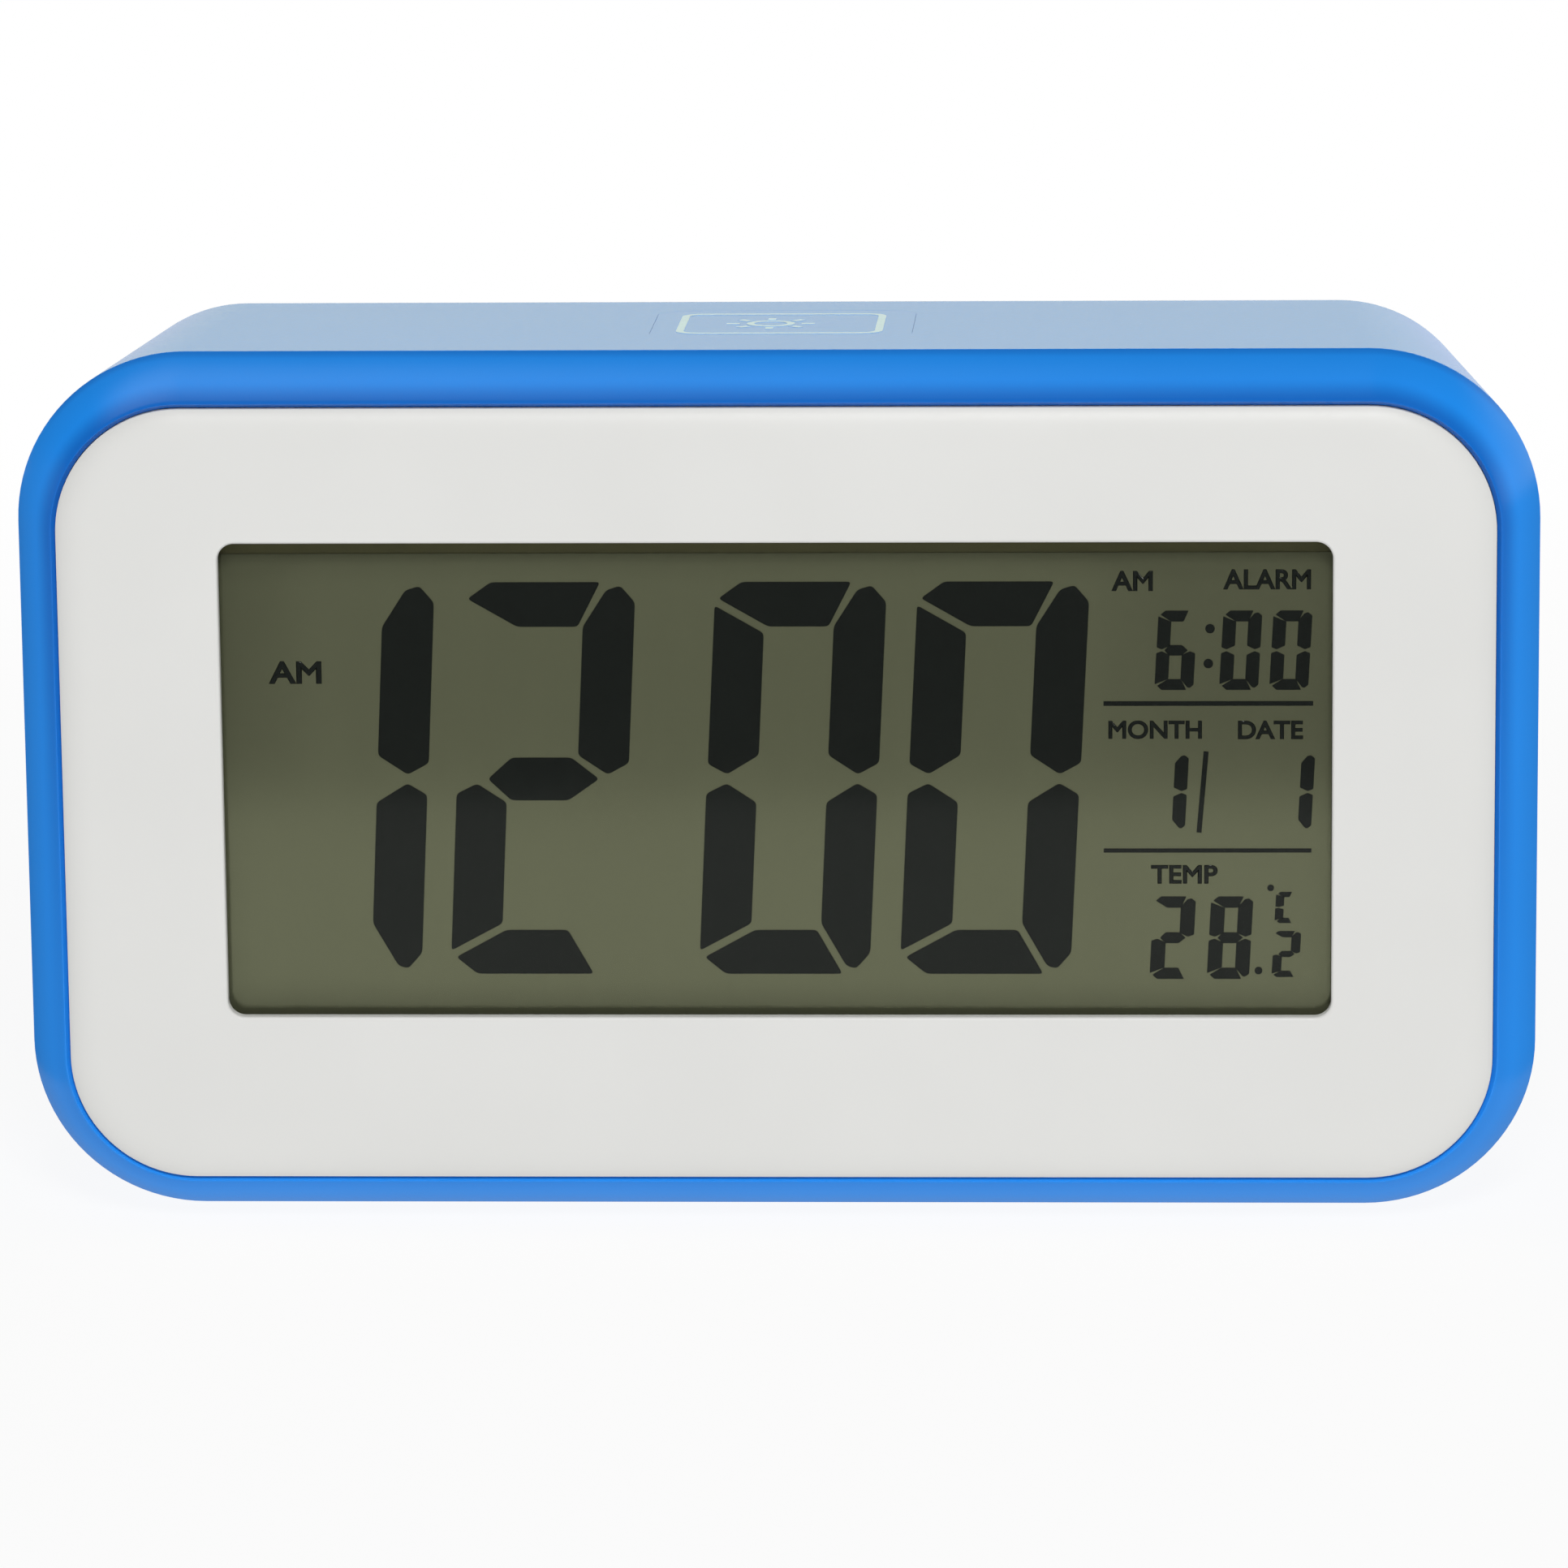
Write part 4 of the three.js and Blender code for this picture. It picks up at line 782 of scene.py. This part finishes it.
small_boss = 2.3 * MM
button_radius = 3.5 * MM
grip_half = Vector((2.0, 1.7)) * MM
key_half = Vector((11.5, 9.75)) * MM
key_radius = 2.5 * MM
key_mouth = 0.015 * MM
buzzer_radius = 13.5 * MM
sound_radius = 1.0 * MM
sound_circle = 5.0 * MM
sound_holes = 6
vent_half = Vector((7.0, 0.75)) * MM
vent_pitch = 3.4 * MM
vent_count = 4
foot_recess = 4.2 * MM
foot_seat = 1.2 * MM
foot_steps = 12
buttons = ("mode", "set", "up", "down")
feet = [f"foot_{end}_{side}" for end in ("front", "rear") for side in ("left", "right")]
inside = back - wall
door_bottom = door_low.z + hook_drop
door_top = door_high.z - latch_nib
drawn_half = half_width - side_taper
drawn_radius = corner_radius - top_taper
drawn = rounded(-drawn_half, drawn_half, underside, topside - top_taper, drawn_radius, corner_steps)
case = sweep(
    "blue_case",
    [*reversed(eased(body, seam_round, case_front, -1)), *eased(drawn, rear_round, back, steps=rear_steps)],
)
carve(case, [sweep("room", [(body, -wall, case_front - wall), (drawn, -wall, inside)])])


def lying(across, depth, height):
    return (across, depth, height)


def sideways(depth, up, across):
    return (across, depth, up)


def on_top(across, depth, height):
    """Heights counted from the top of the case, which falls towards the back."""
    fall = top_taper * (depth - case_front) / (back - rear_round - case_front)
    return (across, depth, topside - fall + height)


def opening(outline, start, face, plane=upright, edge=mouth_round):
    """Cutter of a hole from start out through a face, with an eased mouth."""
    mouth = eased(outline, edge, face, flare=1)
    return sweep("opening", [(outline, 0, start), *mouth, (outline, edge, face + wall)], plane)


def hook_pocket(x):
    """Cutter of the room that a door hook swings in, behind the lip that it catches on."""
    reach = math.hypot(back - door_low.y, hook_drop) + play
    limit = math.acos(-hook_lip / reach)

    def outline(grow=0.0):
        swing = 2 * math.pi - 2 * limit
        angles = [limit + swing * step / swing_steps for step in range(swing_steps + 1)]
        return [(back + reach * math.cos(a), door_bottom + reach * math.sin(a)) for a in angles]

    return prism(outline, x - hook_half - play, x + hook_half + play, sideways)


def box_shape(half, low, high, radius=inner_round, x=0.0):
    return rounded(x - half, x + half, low, high, radius)


buzzer = middle("buzzer_plate")
bay_shell = box_shape(bay_half + bay_wall, bay_low - bay_wall, bay_high + bay_wall)
door_shell = box_shape(door_high.x + bay_wall, door_bottom - bay_wall, door_top + bay_wall, door_radius)
fittings = [
    prism(bay_shell, bay_floor - bay_wall, inside + seat),
    prism(door_shell, ledge - ledge_plate, inside + seat),
]
for number in (1, 2):
    x, y, z = middle(f"key_board_screw_{number}")
    fittings.append(rod(x, z, small_boss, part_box("key_board")[1].y + seat, inside + seat))
for number in (1, 2):
    x, y, z = middle(f"snooze_board_screw_{number}")
    boss = disc(x, y, small_boss)
    fittings.append(prism(boss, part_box("snooze_board")[1].z + seat, topside - wall - MM, lying))
openings = [
    opening(box_shape(door_high.x + play, door_bottom - play, door_top + play, door_radius), ledge, back),
    prism(box_shape(bay_half, bay_low, bay_high), bay_floor, back),
    opening(box_shape(latch_half + play, bay_high - MM, door_top + latch_nib + play), ledge, back),
    hook_pocket(-hook_spread),
    hook_pocket(hook_spread),
]
for side, cell in ((1, cells[2]), (-1, cells[0])):
    x = side * (contact_inner + contact_thickness / 2)
    z = (cell[0].z + cell[1].z) / 2
    tab_hole = (contact_thickness / 2 + lens_fit, contact_tab_half + lens_fit)
    shape = around(x, z, *tab_hole, tab_hole_round)
    openings.append(prism(shape, bay_floor - 2 * bay_wall, bay_floor + seat))
for number in range(1, 5):
    x, y, z = middle(f"housing_screw_{number}")
    fittings.append(rod(x, z, post_radius, post_front, inside + seat))
    openings.append(rod(x, z, shank_hole, post_front - MM, back))
    openings.append(opening(disc(x, z, head_hole), post_front + post_floor, back))
for name in buttons:
    x, y, z = middle(f"{name}_button")
    openings.append(opening(disc(x, z, button_radius + play), inside - seat, back))
slide = next(joint for joint in frame["joints"] if joint["name"] == "alarm_slide")
half_travel = slide["range_m"][1] / 2
grip_place = middle("alarm_knob")
slot_half = (grip_half.x + half_travel + play, grip_half.y + play)
slot_shape = around(grip_place.x + half_travel, grip_place.z, *slot_half, inner_round)
openings.append(opening(slot_shape, inside - seat, back))
key_y = (key_low.y + key_high.y) / 2
key_hole = around(0, key_y, key_half.x + play, key_half.y + play, key_radius + play)
openings.append(opening(key_hole, -2 * wall, 0, on_top, key_mouth))
openings.append(opening(disc(buzzer.x, buzzer.z, sound_radius), inside - seat, back))
for i in range(sound_holes):
    angle = 2 * math.pi * i / sound_holes
    x = buzzer.x + sound_circle * math.cos(angle)
    z = buzzer.z + sound_circle * math.sin(angle)
    openings.append(opening(disc(x, z, sound_radius), inside - seat, back))
for i in range(vent_count):
    z = buzzer.z + (i - (vent_count - 1) / 2) * vent_pitch
    shape = around(-buzzer.x, z, *vent_half, vent_half.y - least_bend)
    openings.append(opening(shape, inside - seat, back))
for node in feet:
    x, y, z = middle(node)
    openings.append(prism(disc(x, y, foot_recess, foot_steps), underside - MM, foot_seat, lying))
seat_ring = rod(buzzer.x, buzzer.z, buzzer_radius, inside - bay_wall, inside + seat)
carve(seat_ring, [rod(buzzer.x, buzzer.z, buzzer_radius - bay_wall, inside - 2 * bay_wall, back)])
carve(case, [*fittings, seat_ring], "UNION")
carve(case, openings)
smooth(case, blue_plastic)
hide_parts("rear_case")
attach(case, "clock_body")

# Feet
# Four round pads of soft dark rubber, glued into shallow recesses under the case.
# Their edges are rounded, and they lift the case off the table.
foot_round = 0.25 * MM
rubber, place = finish("foot_rubber")
dust = noise(place, 1500, 3)
coat(place, Base_Color=dust.mix((0.016, 0.016, 0.017), (0.035, 0.035, 0.036)), Roughness=0.75 + 0.2 * dust)
for node in feet:
    low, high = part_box(node)
    x, y, z = middle(node)
    pad = disc(x, y, (high.x - low.x) / 2, foot_steps)
    foot = plate(f"{node}_pad", pad, low.z, high.z, foot_round, lying)
    smooth(foot, rubber)
    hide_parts(node)
    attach(foot, "clock_body")

# Snooze key
# The key in the top, of the same blue ABS, flush with the slanted top. Its flange stays under the wall, and
# its stem presses the switch on the small board. A pale outline with a plain lamp sign is printed on it.
key_gap = 0.02 * MM
key_edge = 0.02 * MM
stem_radius = 1.4 * MM
flange_grow = 1.2 * MM
flange_bottom = -4.5 * MM
flange_top = -2.9 * MM
print_half = Vector((9.3, 7.6)) * MM
print_radius = 2.0 * MM
print_shift = -0.2 * MM
print_line = 0.7 * MM
print_rise = 0.03 * MM
lamp_x = -1.2 * MM
lamp_radius = 2.2 * MM
ray_ends = (2.8 * MM, 4.0 * MM)
ray_count = 8
key_reach = play - key_gap
stem_tip = key_low.z - on_top(0, key_y, 0)[2]
stem = disc(0, key_y, stem_radius)
key_shape = around(0, key_y, key_half.x + key_reach, key_half.y + key_reach, key_radius)
key = sweep(
    "snooze_cap",
    [
        (stem, 0, stem_tip),
        (stem, 0, flange_bottom),
        (key_shape, flange_grow, flange_bottom),
        (key_shape, flange_grow, flange_top),
        (key_shape, 0, flange_top),
        *eased(key_shape, key_edge, 0),
    ],
    on_top,
)
smooth(key, blue_plastic)
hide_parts("snooze_key")
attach(key, "snooze")


def printed_line(name, outline):
    """A printed line that runs round inside an outline."""
    section = ((0, 0), (0, print_rise), (-print_line, print_rise), (-print_line, 0))
    return sweep(name, [(outline, grow, height) for grow, height in section], on_top, closed=True)


outline_print = printed_line("printed_outline", around(print_shift, key_y, *print_half, print_radius))
lamp_print = printed_line("printed_lamp", disc(lamp_x, key_y, lamp_radius))
rays = []
for i in range(ray_count):
    angle = 2 * math.pi * i / ray_count
    ends = [(lamp_x + reach * math.cos(angle), key_y + reach * math.sin(angle)) for reach in ray_ends]
    rays.append(bar(*ends, print_line))
rays_print = inlay("printed_rays", rays, on_top, 0, print_rise)
white_ink, place = finish("white_print")
cover = noise(place, 700, 3)
coat(place, Base_Color=cover.mix((0.58, 0.86, 1.0), (0.64, 0.92, 1.0)), Roughness=0.2 + 0.06 * cover)
for piece in (outline_print, lamp_print, rays_print):
    piece.data.materials.append(white_ink)
    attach(piece, "snooze")
dress(black_plastic, "snooze_switch")
dress(steel, "snooze_board_screw_1", "snooze_board_screw_2")

# Rear keys
# Four round push keys of white plastic in the back: a stem on the switch, a flange behind the wall and a
# softly dished face. Their switches and two screws stand on the key board, and a flat cable leaves it.
button_edge = 0.6 * MM
button_flange = 1.1 * MM
flange_thickness = 1.0 * MM
button_flange_back = inside - seat
button_flange_front = button_flange_back - flange_thickness
dish = ((1.1, 0.0), (1.7, 0.1), (2.4, 0.17), (3.1, 0.2))
for name in buttons:
    low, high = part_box(f"{name}_button")
    x, y, z = middle(f"{name}_button")
    stem = disc(x, z, stem_radius)
    shaft = disc(x, z, button_radius)
    button = sweep(
        f"{name}_key",
        [
            (stem, 0, low.y),
            (stem, 0, button_flange_front),
            (shaft, button_flange, button_flange_front),
            (shaft, button_flange, button_flange_back),
            (shaft, 0, button_flange_back),
            *eased(shaft, button_edge, high.y),
            *[(shaft, -inset * MM, high.y - drop * MM) for inset, drop in dish],
        ],
    )
    smooth(button, white_plastic)
    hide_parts(f"{name}_button")
    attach(button, name)
dress(black_plastic, *[f"{name}_switch" for name in buttons])
dress(steel, "key_board_screw_1", "key_board_screw_2")
ribbon_finish, place = finish("flat_cable")
cores = place.node("ShaderNodeTexWave", {}, {"Vector": place, "Scale": 250.0}, "Fac")
coat(place, Base_Color=cores.mix((0.22, 0.23, 0.25), (0.42, 0.44, 0.46)), Roughness=0.5 + 0.1 * cores)
dress(ribbon_finish, "key_ribbon")

# Alarm slide
# A white knob that slides in a slot in the back. Its plate runs behind the wall, its leg moves the slide
# switch, and three grooves across the grip give the finger hold.
knob_low, knob_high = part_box("alarm_knob")
leg_half = 0.8 * MM
leg_round = 0.2 * MM
knob_round = 0.5 * MM
grip_edge = 0.35 * MM
groove_radius = 0.3 * MM
groove_pitch = 1.0 * MM
leg = around(grip_place.x, grip_place.z, leg_half, leg_half, leg_round)
slide_plate = inside_box(knob_low, knob_high, 0, 0, knob_round)
grip = around(grip_place.x, grip_place.z, *grip_half, knob_round)
knob = sweep(
    "alarm_slide_knob",
    [
        (leg, 0, knob_low.y),
        (leg, 0, button_flange_front),
        (slide_plate, 0, button_flange_front),
        (slide_plate, 0, button_flange_back),
        (grip, 0, button_flange_back),
        *eased(grip, grip_edge, knob_high.y),
    ],
)
grooves = []
for i in (-1, 0, 1):
    shape = disc(grip_place.x + groove_pitch * i, knob_high.y, groove_radius)
    grooves.append(prism(shape, grip_place.z - wall, grip_place.z + wall, lying))
carve(knob, grooves)
smooth(knob, white_plastic)
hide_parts("alarm_knob")
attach(knob, "alarm_slider")
dress(steel, "alarm_switch")

# Buzzer
# A brass disc with a ceramic element bonded to it, held on its ring seat
# behind the sound holes.
dress(metal("buzzer_brass", (0.62, 0.42, 0.14), 0.34), "buzzer_plate")
ceramic, place = finish("buzzer_ceramic")
speck = noise(place, 800, 3)
coat(place, Base_Color=speck.mix((0.66, 0.63, 0.54), (0.80, 0.77, 0.68)), Roughness=0.45 + 0.15 * speck)
dress(ceramic, "buzzer_element")

# Cell contacts and leads
# Nickel-plated spring steel. Plates stand at both ends of the bay, and a conical spring of round wire is
# formed on each plate that meets a cell's flat end. Two leads join the end contacts to the board.
spring_turns = 3
spring_steps = 28
wire_sides = 12
spring_wire = 0.35 * MM
spring_base = 3.5 * MM
spring_tip = 2.3 * MM
spring_rise = 3.95 * MM
contact_round = 0.6 * MM
contact_edge = 0.08 * MM
tab_round = 0.3 * MM
cell_y = middle("battery_1").y


def coil(side, y, z):
    """A conical wire spring from a contact plate towards the cell."""
    rows = []
    steps = spring_turns * spring_steps
    along = Vector((1, 0, 0))
    for step in range(steps + 1):
        share = step / steps
        angle = share * spring_turns * 2 * math.pi
        outward = Vector((0, math.cos(angle), math.sin(angle)))
        radius = spring_base + (spring_tip - spring_base) * share
        centre = Vector((side * (contact_inner - share * spring_rise), y, z)) + radius * outward
        turns = [2 * math.pi * i / wire_sides for i in range(wire_sides)]
        rows.append([centre + spring_wire * (math.cos(a) * outward + math.sin(a) * along) for a in turns])
    return skin("coil", [rows])


for name, side, tabbed, sprung in (
    ("positive", 1, True, None),
    ("negative", -1, True, 1),
    ("link_left", -1, False, 3),
    ("link_right", 1, False, 2),
):
    low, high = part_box(f"contact_{name}")
    half = high.y - cell_y
    shape = rounded(cell_y - half, cell_y + half, low.z, high.z, contact_round)
    ends = sorted((side * contact_inner, side * (contact_inner + contact_thickness)))
    contact = plate(f"{name}_contact", shape, *ends, contact_edge, sideways)
    additions = []
    if tabbed:
        z = (low.z + high.z) / 2
        tab = rounded(low.y, cell_y, z - contact_tab_half, z + contact_tab_half, tab_round)
        additions.append(plate("tab", tab, *ends, contact_edge, sideways))
    if sprung:
        additions.append(coil(side, cell_y, middle(f"battery_{sprung}").z))
    carve(contact, additions, "UNION")
    smooth(contact, steel)
    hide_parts(f"contact_{name}")
    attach(contact, "clock_body")
for colour, shade in (("red", (0.42, 0.018, 0.02)), ("black", (0.012, 0.012, 0.013))):
    dress(moulded(f"{colour}_insulation", shade, 0.45), f"battery_lead_{colour}")

# Cells
# Three AAA cells in the bay, turned about in series. Each has a film jacket with a copper band at its
# positive end, crimped over bright steel ends with a raised nub and a flat base.
band_start = 9.5 * MM
line_start = 8.7 * MM
crimp_radius = 4.85 * MM
cell_steps = 12
jacket, place = finish("cell_jacket")
along = place.axis("X")
scuff = noise(place.times((120, 400, 400)), 1.0, 3)
band = along.over(band_start)
line = along.over(line_start) - band
coat(
    place,
    Base_Color=line.mix(band.mix((0.022, 0.024, 0.027), (0.42, 0.19, 0.06)), (0.70, 0.70, 0.70)),
    Metallic=0.55 * band + 0.2,
    Roughness=0.26 + 0.12 * scuff,
)
cell_profile = (
    (3.6, 0.2), (4.1, 0.2), (4.3, 0.0), (4.6, 0.0), (4.75, 0.1), (5.0, 0.1), (5.2, 0.25), (5.25, 0.5),
    (5.25, 43.0), (5.2, 43.25), (5.0, 43.4), (4.75, 43.4), (4.6, 43.2), (4.0, 43.2), (3.8, 43.5),
    (2.2, 43.5), (2.0, 43.6), (1.9, 43.8), (1.9, 44.3), (1.8, 44.44), (1.6, 44.5),
)
for number, (low, high) in enumerate(cells, 1):
    half_length = (high.x - low.x) / 2
    stations = []
    for radius, run in cell_profile:
        stations.append((disc(0, 0, radius * MM, cell_steps), 0, run * MM - half_length))
    cell = sweep(f"cell_{number}", stations, sideways)
    smooth(cell, jacket, steel)
    for face in cell.data.polygons:
        face.material_index = int(math.hypot(face.center.y, face.center.z) < crimp_radius)
    turn = 0 if high.x > -low.x else math.pi
    cell.matrix_world = Matrix.Translation((low + high) / 2) @ Matrix.Rotation(turn, 4, "Z")
    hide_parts(f"battery_{number}")
    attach(cell, "clock_body")

# Cell door
# The blue door over the bay. Two hooks at its lower edge turn in the case's pockets, and a sprung tongue
# between two slits latches at the top, with three grooves for the thumb.
door_edge = 0.3 * MM
slit = 0.7 * MM
slit_round = 0.3 * MM
latch_length = 9.0 * MM
hook_root = 1.0 * MM
hook_thickness = 1.4 * MM
hook_round = 0.3 * MM
hook_edge = 0.15 * MM
nib_round = 0.2 * MM
thumb_radius = 0.55 * MM
thumb_rise = 0.1 * MM
door_front = back - door_thickness
door_shape = rounded(door_low.x, door_high.x, door_bottom, door_top, door_radius)
door = sweep(
    "blue_door",
    [*reversed(eased(door_shape, mouth_round, door_front, -1)), *eased(door_shape, door_edge, back)],
)
additions = []
for x in (-hook_spread, hook_spread):
    shape = box_shape(hook_half, door_low.z, door_bottom + hook_root, hook_round, x)
    additions.append(plate("hook", shape, door_low.y, door_low.y + hook_thickness, hook_edge))
nib_shape = box_shape(latch_half, door_top - hook_root, door_high.z, nib_round)
additions.append(plate("nib", nib_shape, door_front, back - door_thickness / 2, hook_edge))
carve(door, additions, "UNION")
cutters = []
for side in (-1, 1):
    x = side * (latch_half + slit / 2)
    shape = box_shape(slit / 2, door_top - latch_length, door_top + wall, slit_round, x)
    cutters.append(prism(shape, door_front - wall, back + wall))
for i in (1, 2, 3):
    shape = disc(back + thumb_rise, door_top - latch_length * i / 4, thumb_radius)
    cutters.append(prism(shape, MM - latch_half, latch_half - MM, sideways))
carve(door, cutters)
smooth(door, blue_plastic)
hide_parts("battery_door")
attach(door, "door")

# Housing screws
# Four plated screws deep in the posts join the case to the panel's bosses and clamp the ring between them.
# Each has a domed head with a cross recess.
head_radius = 2.5 * MM
head_flat = 1.8 * MM
head_height = 1.8 * MM
head_rim = 0.6 * MM
dome_steps = 6
shank_radius = 1.3 * MM
tip_taper = 0.9 * MM
tip_length = 1.6 * MM
cross_half = (1.3 * MM, 0.35 * MM)
cross_round = 0.1 * MM
cross_depth = 0.8 * MM
for number in range(1, 5):
    node = f"housing_screw_{number}"
    low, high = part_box(node)
    x, y, z = middle(node)
    shank = disc(x, z, shank_radius)
    head = disc(x, z, head_radius)
    bearing = high.y - head_height
    dome = bow((0, bearing + head_rim), (0, high.y), (head_radius - head_flat, high.y), dome_steps)
    screw = sweep(
        f"{node}_body",
        [
            (shank, -tip_taper, low.y),
            (shank, 0, low.y + tip_length),
            (shank, 0, bearing),
            (head, 0, bearing),
            *[(head, -inset, depth) for inset, depth in dome],
        ],
    )
    slots = [around(x, z, *half, cross_round) for half in (cross_half, cross_half[::-1])]
    carve(screw, [prism(shape, high.y - cross_depth, high.y + MM) for shape in slots])
    smooth(screw, steel)
    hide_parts(node)
    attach(screw, "clock_body")

# Studio
# A white table and surround, which the camera sees as white and the gloss mirrors in part. A soft key lamp
# and a low fill stand in front, and weak lamps that nothing mirrors light the sides and the back. The
# camera stands as in the photograph.
camera_place = Vector((32.762, -756.455, 210.09)) * MM
camera_target = Vector((0.728, -23.4, 40.914)) * MM
camera_roll = math.radians(-0.597)
camera_lens = 195.546
table_half = 6
table_corner = 1
table_thickness = 20 * MM
table_fill = 0.85
table_shadow = 0.08
shadow_reach = 400 * MM
strip_near = -85 * MM
pool_near = -60 * MM
pool_far = -190 * MM
pool_half = 120 * MM
under_half = 90 * MM
under_level = 0.22
far_level = 0.36
side_level = 0.05
behind_near = 150 * MM
behind_far = 300 * MM
ambient = 0.05
backdrop_depth = (0.05, 0.4)
backdrop_height = (0.3, 0.7)
backdrop_left = (-0.6, -0.3)
backdrop_right = (0.5, 0.9)
right_level = 0.45
backdrop_tint = (1.0, 1.09, 0.9)
strip_rise = (-0.05, 0.15)
strip_fall = (0.3, 0.5)
ceiling_height = (0.6, 0.9)
ceiling_across = (-0.14, 0.03)
ceiling_levels = (1.3, 0.1)
clock_middle = Vector((0, 0, 40)) * MM

forward = (camera_target - camera_place).normalized()
right = forward.cross(Vector((0, 0, 1))).normalized()
up = right.cross(forward)
tilted_right = math.cos(camera_roll) * right + math.sin(camera_roll) * up
tilted_up = math.cos(camera_roll) * up - math.sin(camera_roll) * right
camera_data = bpy.data.cameras.new("camera")
camera_data.lens = camera_lens
camera_data.sensor_width = 36
camera_data.clip_start = 0.01
camera_data.clip_end = 100
camera = bpy.data.objects.new("camera", camera_data)
turn = Matrix((tilted_right, tilted_up, -forward)).transposed()
camera.matrix_world = Matrix.Translation(camera_place) @ turn.to_4x4()
bpy.context.scene.collection.objects.link(camera)
bpy.context.scene.camera = camera


def ray_kinds(start):
    """Whether the camera sees a place straight, through glass or in a gloss."""
    kinds = ("Is Camera Ray", "Is Transmission Ray", "Is Glossy Ray")
    return [start.node("ShaderNodeLightPath", {}, {}, kind) for kind in kinds]


def within(value, low, high):
    return value.over(low) * (1 - value.over(high))


table_outline = around(0, 0, table_half, table_half, table_corner)
table = sweep("table", [(table_outline, 0, -table_thickness), (table_outline, 0, 0)], lying)
table_finish, place = finish("white_table")
seen, through, mirrored = ray_kinds(place)
across = place.axis("X")
depth = place.axis("Y")
fibre = noise(place, 300)
matt = place.node("ShaderNodeBsdfDiffuse", {}, {"Color": fibre.mix((0.80, 0.80, 0.79), (0.84, 0.84, 0.83))})
distance = place.node("ShaderNodeVectorMath", {"operation": "LENGTH"}, {0: place}, "Value")
matt_share = table_shadow * ramp(distance, shadow_reach / 4, shadow_reach, 1, 0)
pool = within(depth, pool_far, pool_near) * within(across, -pool_half, pool_half)
under = within(across, -under_half, under_half)
dim_level = under_level + (far_level - under_level) * (1 - depth.over(pool_far))
aside = across.math("ABSOLUTE", across, 0)
bright = pool + ramp(depth - aside, behind_near, behind_far)
mirror_level = bright + (1 - bright) * (side_level + (dim_level - side_level) * under)
mirror_shade = mirror_level.mix((0, 0, 0), (1, 1, 1))
glow = place.node("ShaderNodeEmission", {}, {"Color": mirrored.mix((1, 1, 1), mirror_shade)})
direct = seen + through
strip = within(depth, strip_near, 0) * under
fill = table_fill + (1 - table_fill) * strip
shown = direct * (1 - matt_share) + mirrored + fill * (1 - direct) * (1 - mirrored)
surface = place.node("ShaderNodeMixShader", {}, {0: shown, 1: matt, 2: glow})
place.node("ShaderNodeOutputMaterial", {}, {"Surface": surface})
table.data.materials.append(table_finish)

world = bpy.data.worlds.new("white_surround")
world.use_nodes = True
world.node_tree.nodes.clear()
bpy.context.scene.world = world
way = Socket(world.node_tree).node("ShaderNodeTexCoord", {}, {}, "Generated")
seen, through, mirrored = ray_kinds(way)
across = way.axis("X")
depth = way.axis("Y")
height = way.axis("Z")
backdrop = ramp(depth, *backdrop_depth) * ramp(height, *backdrop_height, 1, 0)
backdrop = backdrop * ramp(across, *backdrop_left) * ramp(across, *backdrop_right, 1, right_level)
strip_light = ramp(depth, *strip_rise) * ramp(depth, *strip_fall, 1, 0)
ceiling = ramp(height, *ceiling_height) * strip_light * ramp(across, *ceiling_across, *ceiling_levels)
shown = seen + through + mirrored * (side_level + (1 - side_level) * (backdrop + ceiling))
level = shown + ambient * (1 - seen) * (1 - through) * (1 - mirrored)
tone = (mirrored * backdrop).mix((1, 1, 1), backdrop_tint)
sky = way.node("ShaderNodeBackground", {}, {"Color": tone, "Strength": level})
way.node("ShaderNodeOutputWorld", {}, {"Surface": sky})

for name, position, width, tall, power, shows in (
    ("key_lamp", (0.1, -0.87, 0.82), 0.3, 0.32, 9.3, True),
    ("fill_lamp", (0.0, -1.1, 0.2), 0.9, 0.3, 0.9, True),
    ("left_lamp", (-1.1, 0.25, 0.2), 0.5, 0.3, 1.8, False),
    ("right_lamp", (1.1, 0.25, 0.2), 0.5, 0.3, 1.8, False),
    ("back_lamp", (0.2, 1.2, 0.3), 0.8, 0.3, 4.0, False),
):
    light = bpy.data.lights.new(name, "AREA")
    light.shape = "RECTANGLE"
    light.size = width
    light.size_y = tall
    light.energy = power
    lamp = bpy.data.objects.new(name, light)
    lamp.location = position
    lamp.rotation_euler = (clock_middle - Vector(position)).to_track_quat("-Z", "Y").to_euler()
    lamp.visible_glossy = shows
    bpy.context.scene.collection.objects.link(lamp)

bpy.context.scene.view_settings.view_transform = "Standard"
bpy.context.view_layer.update()
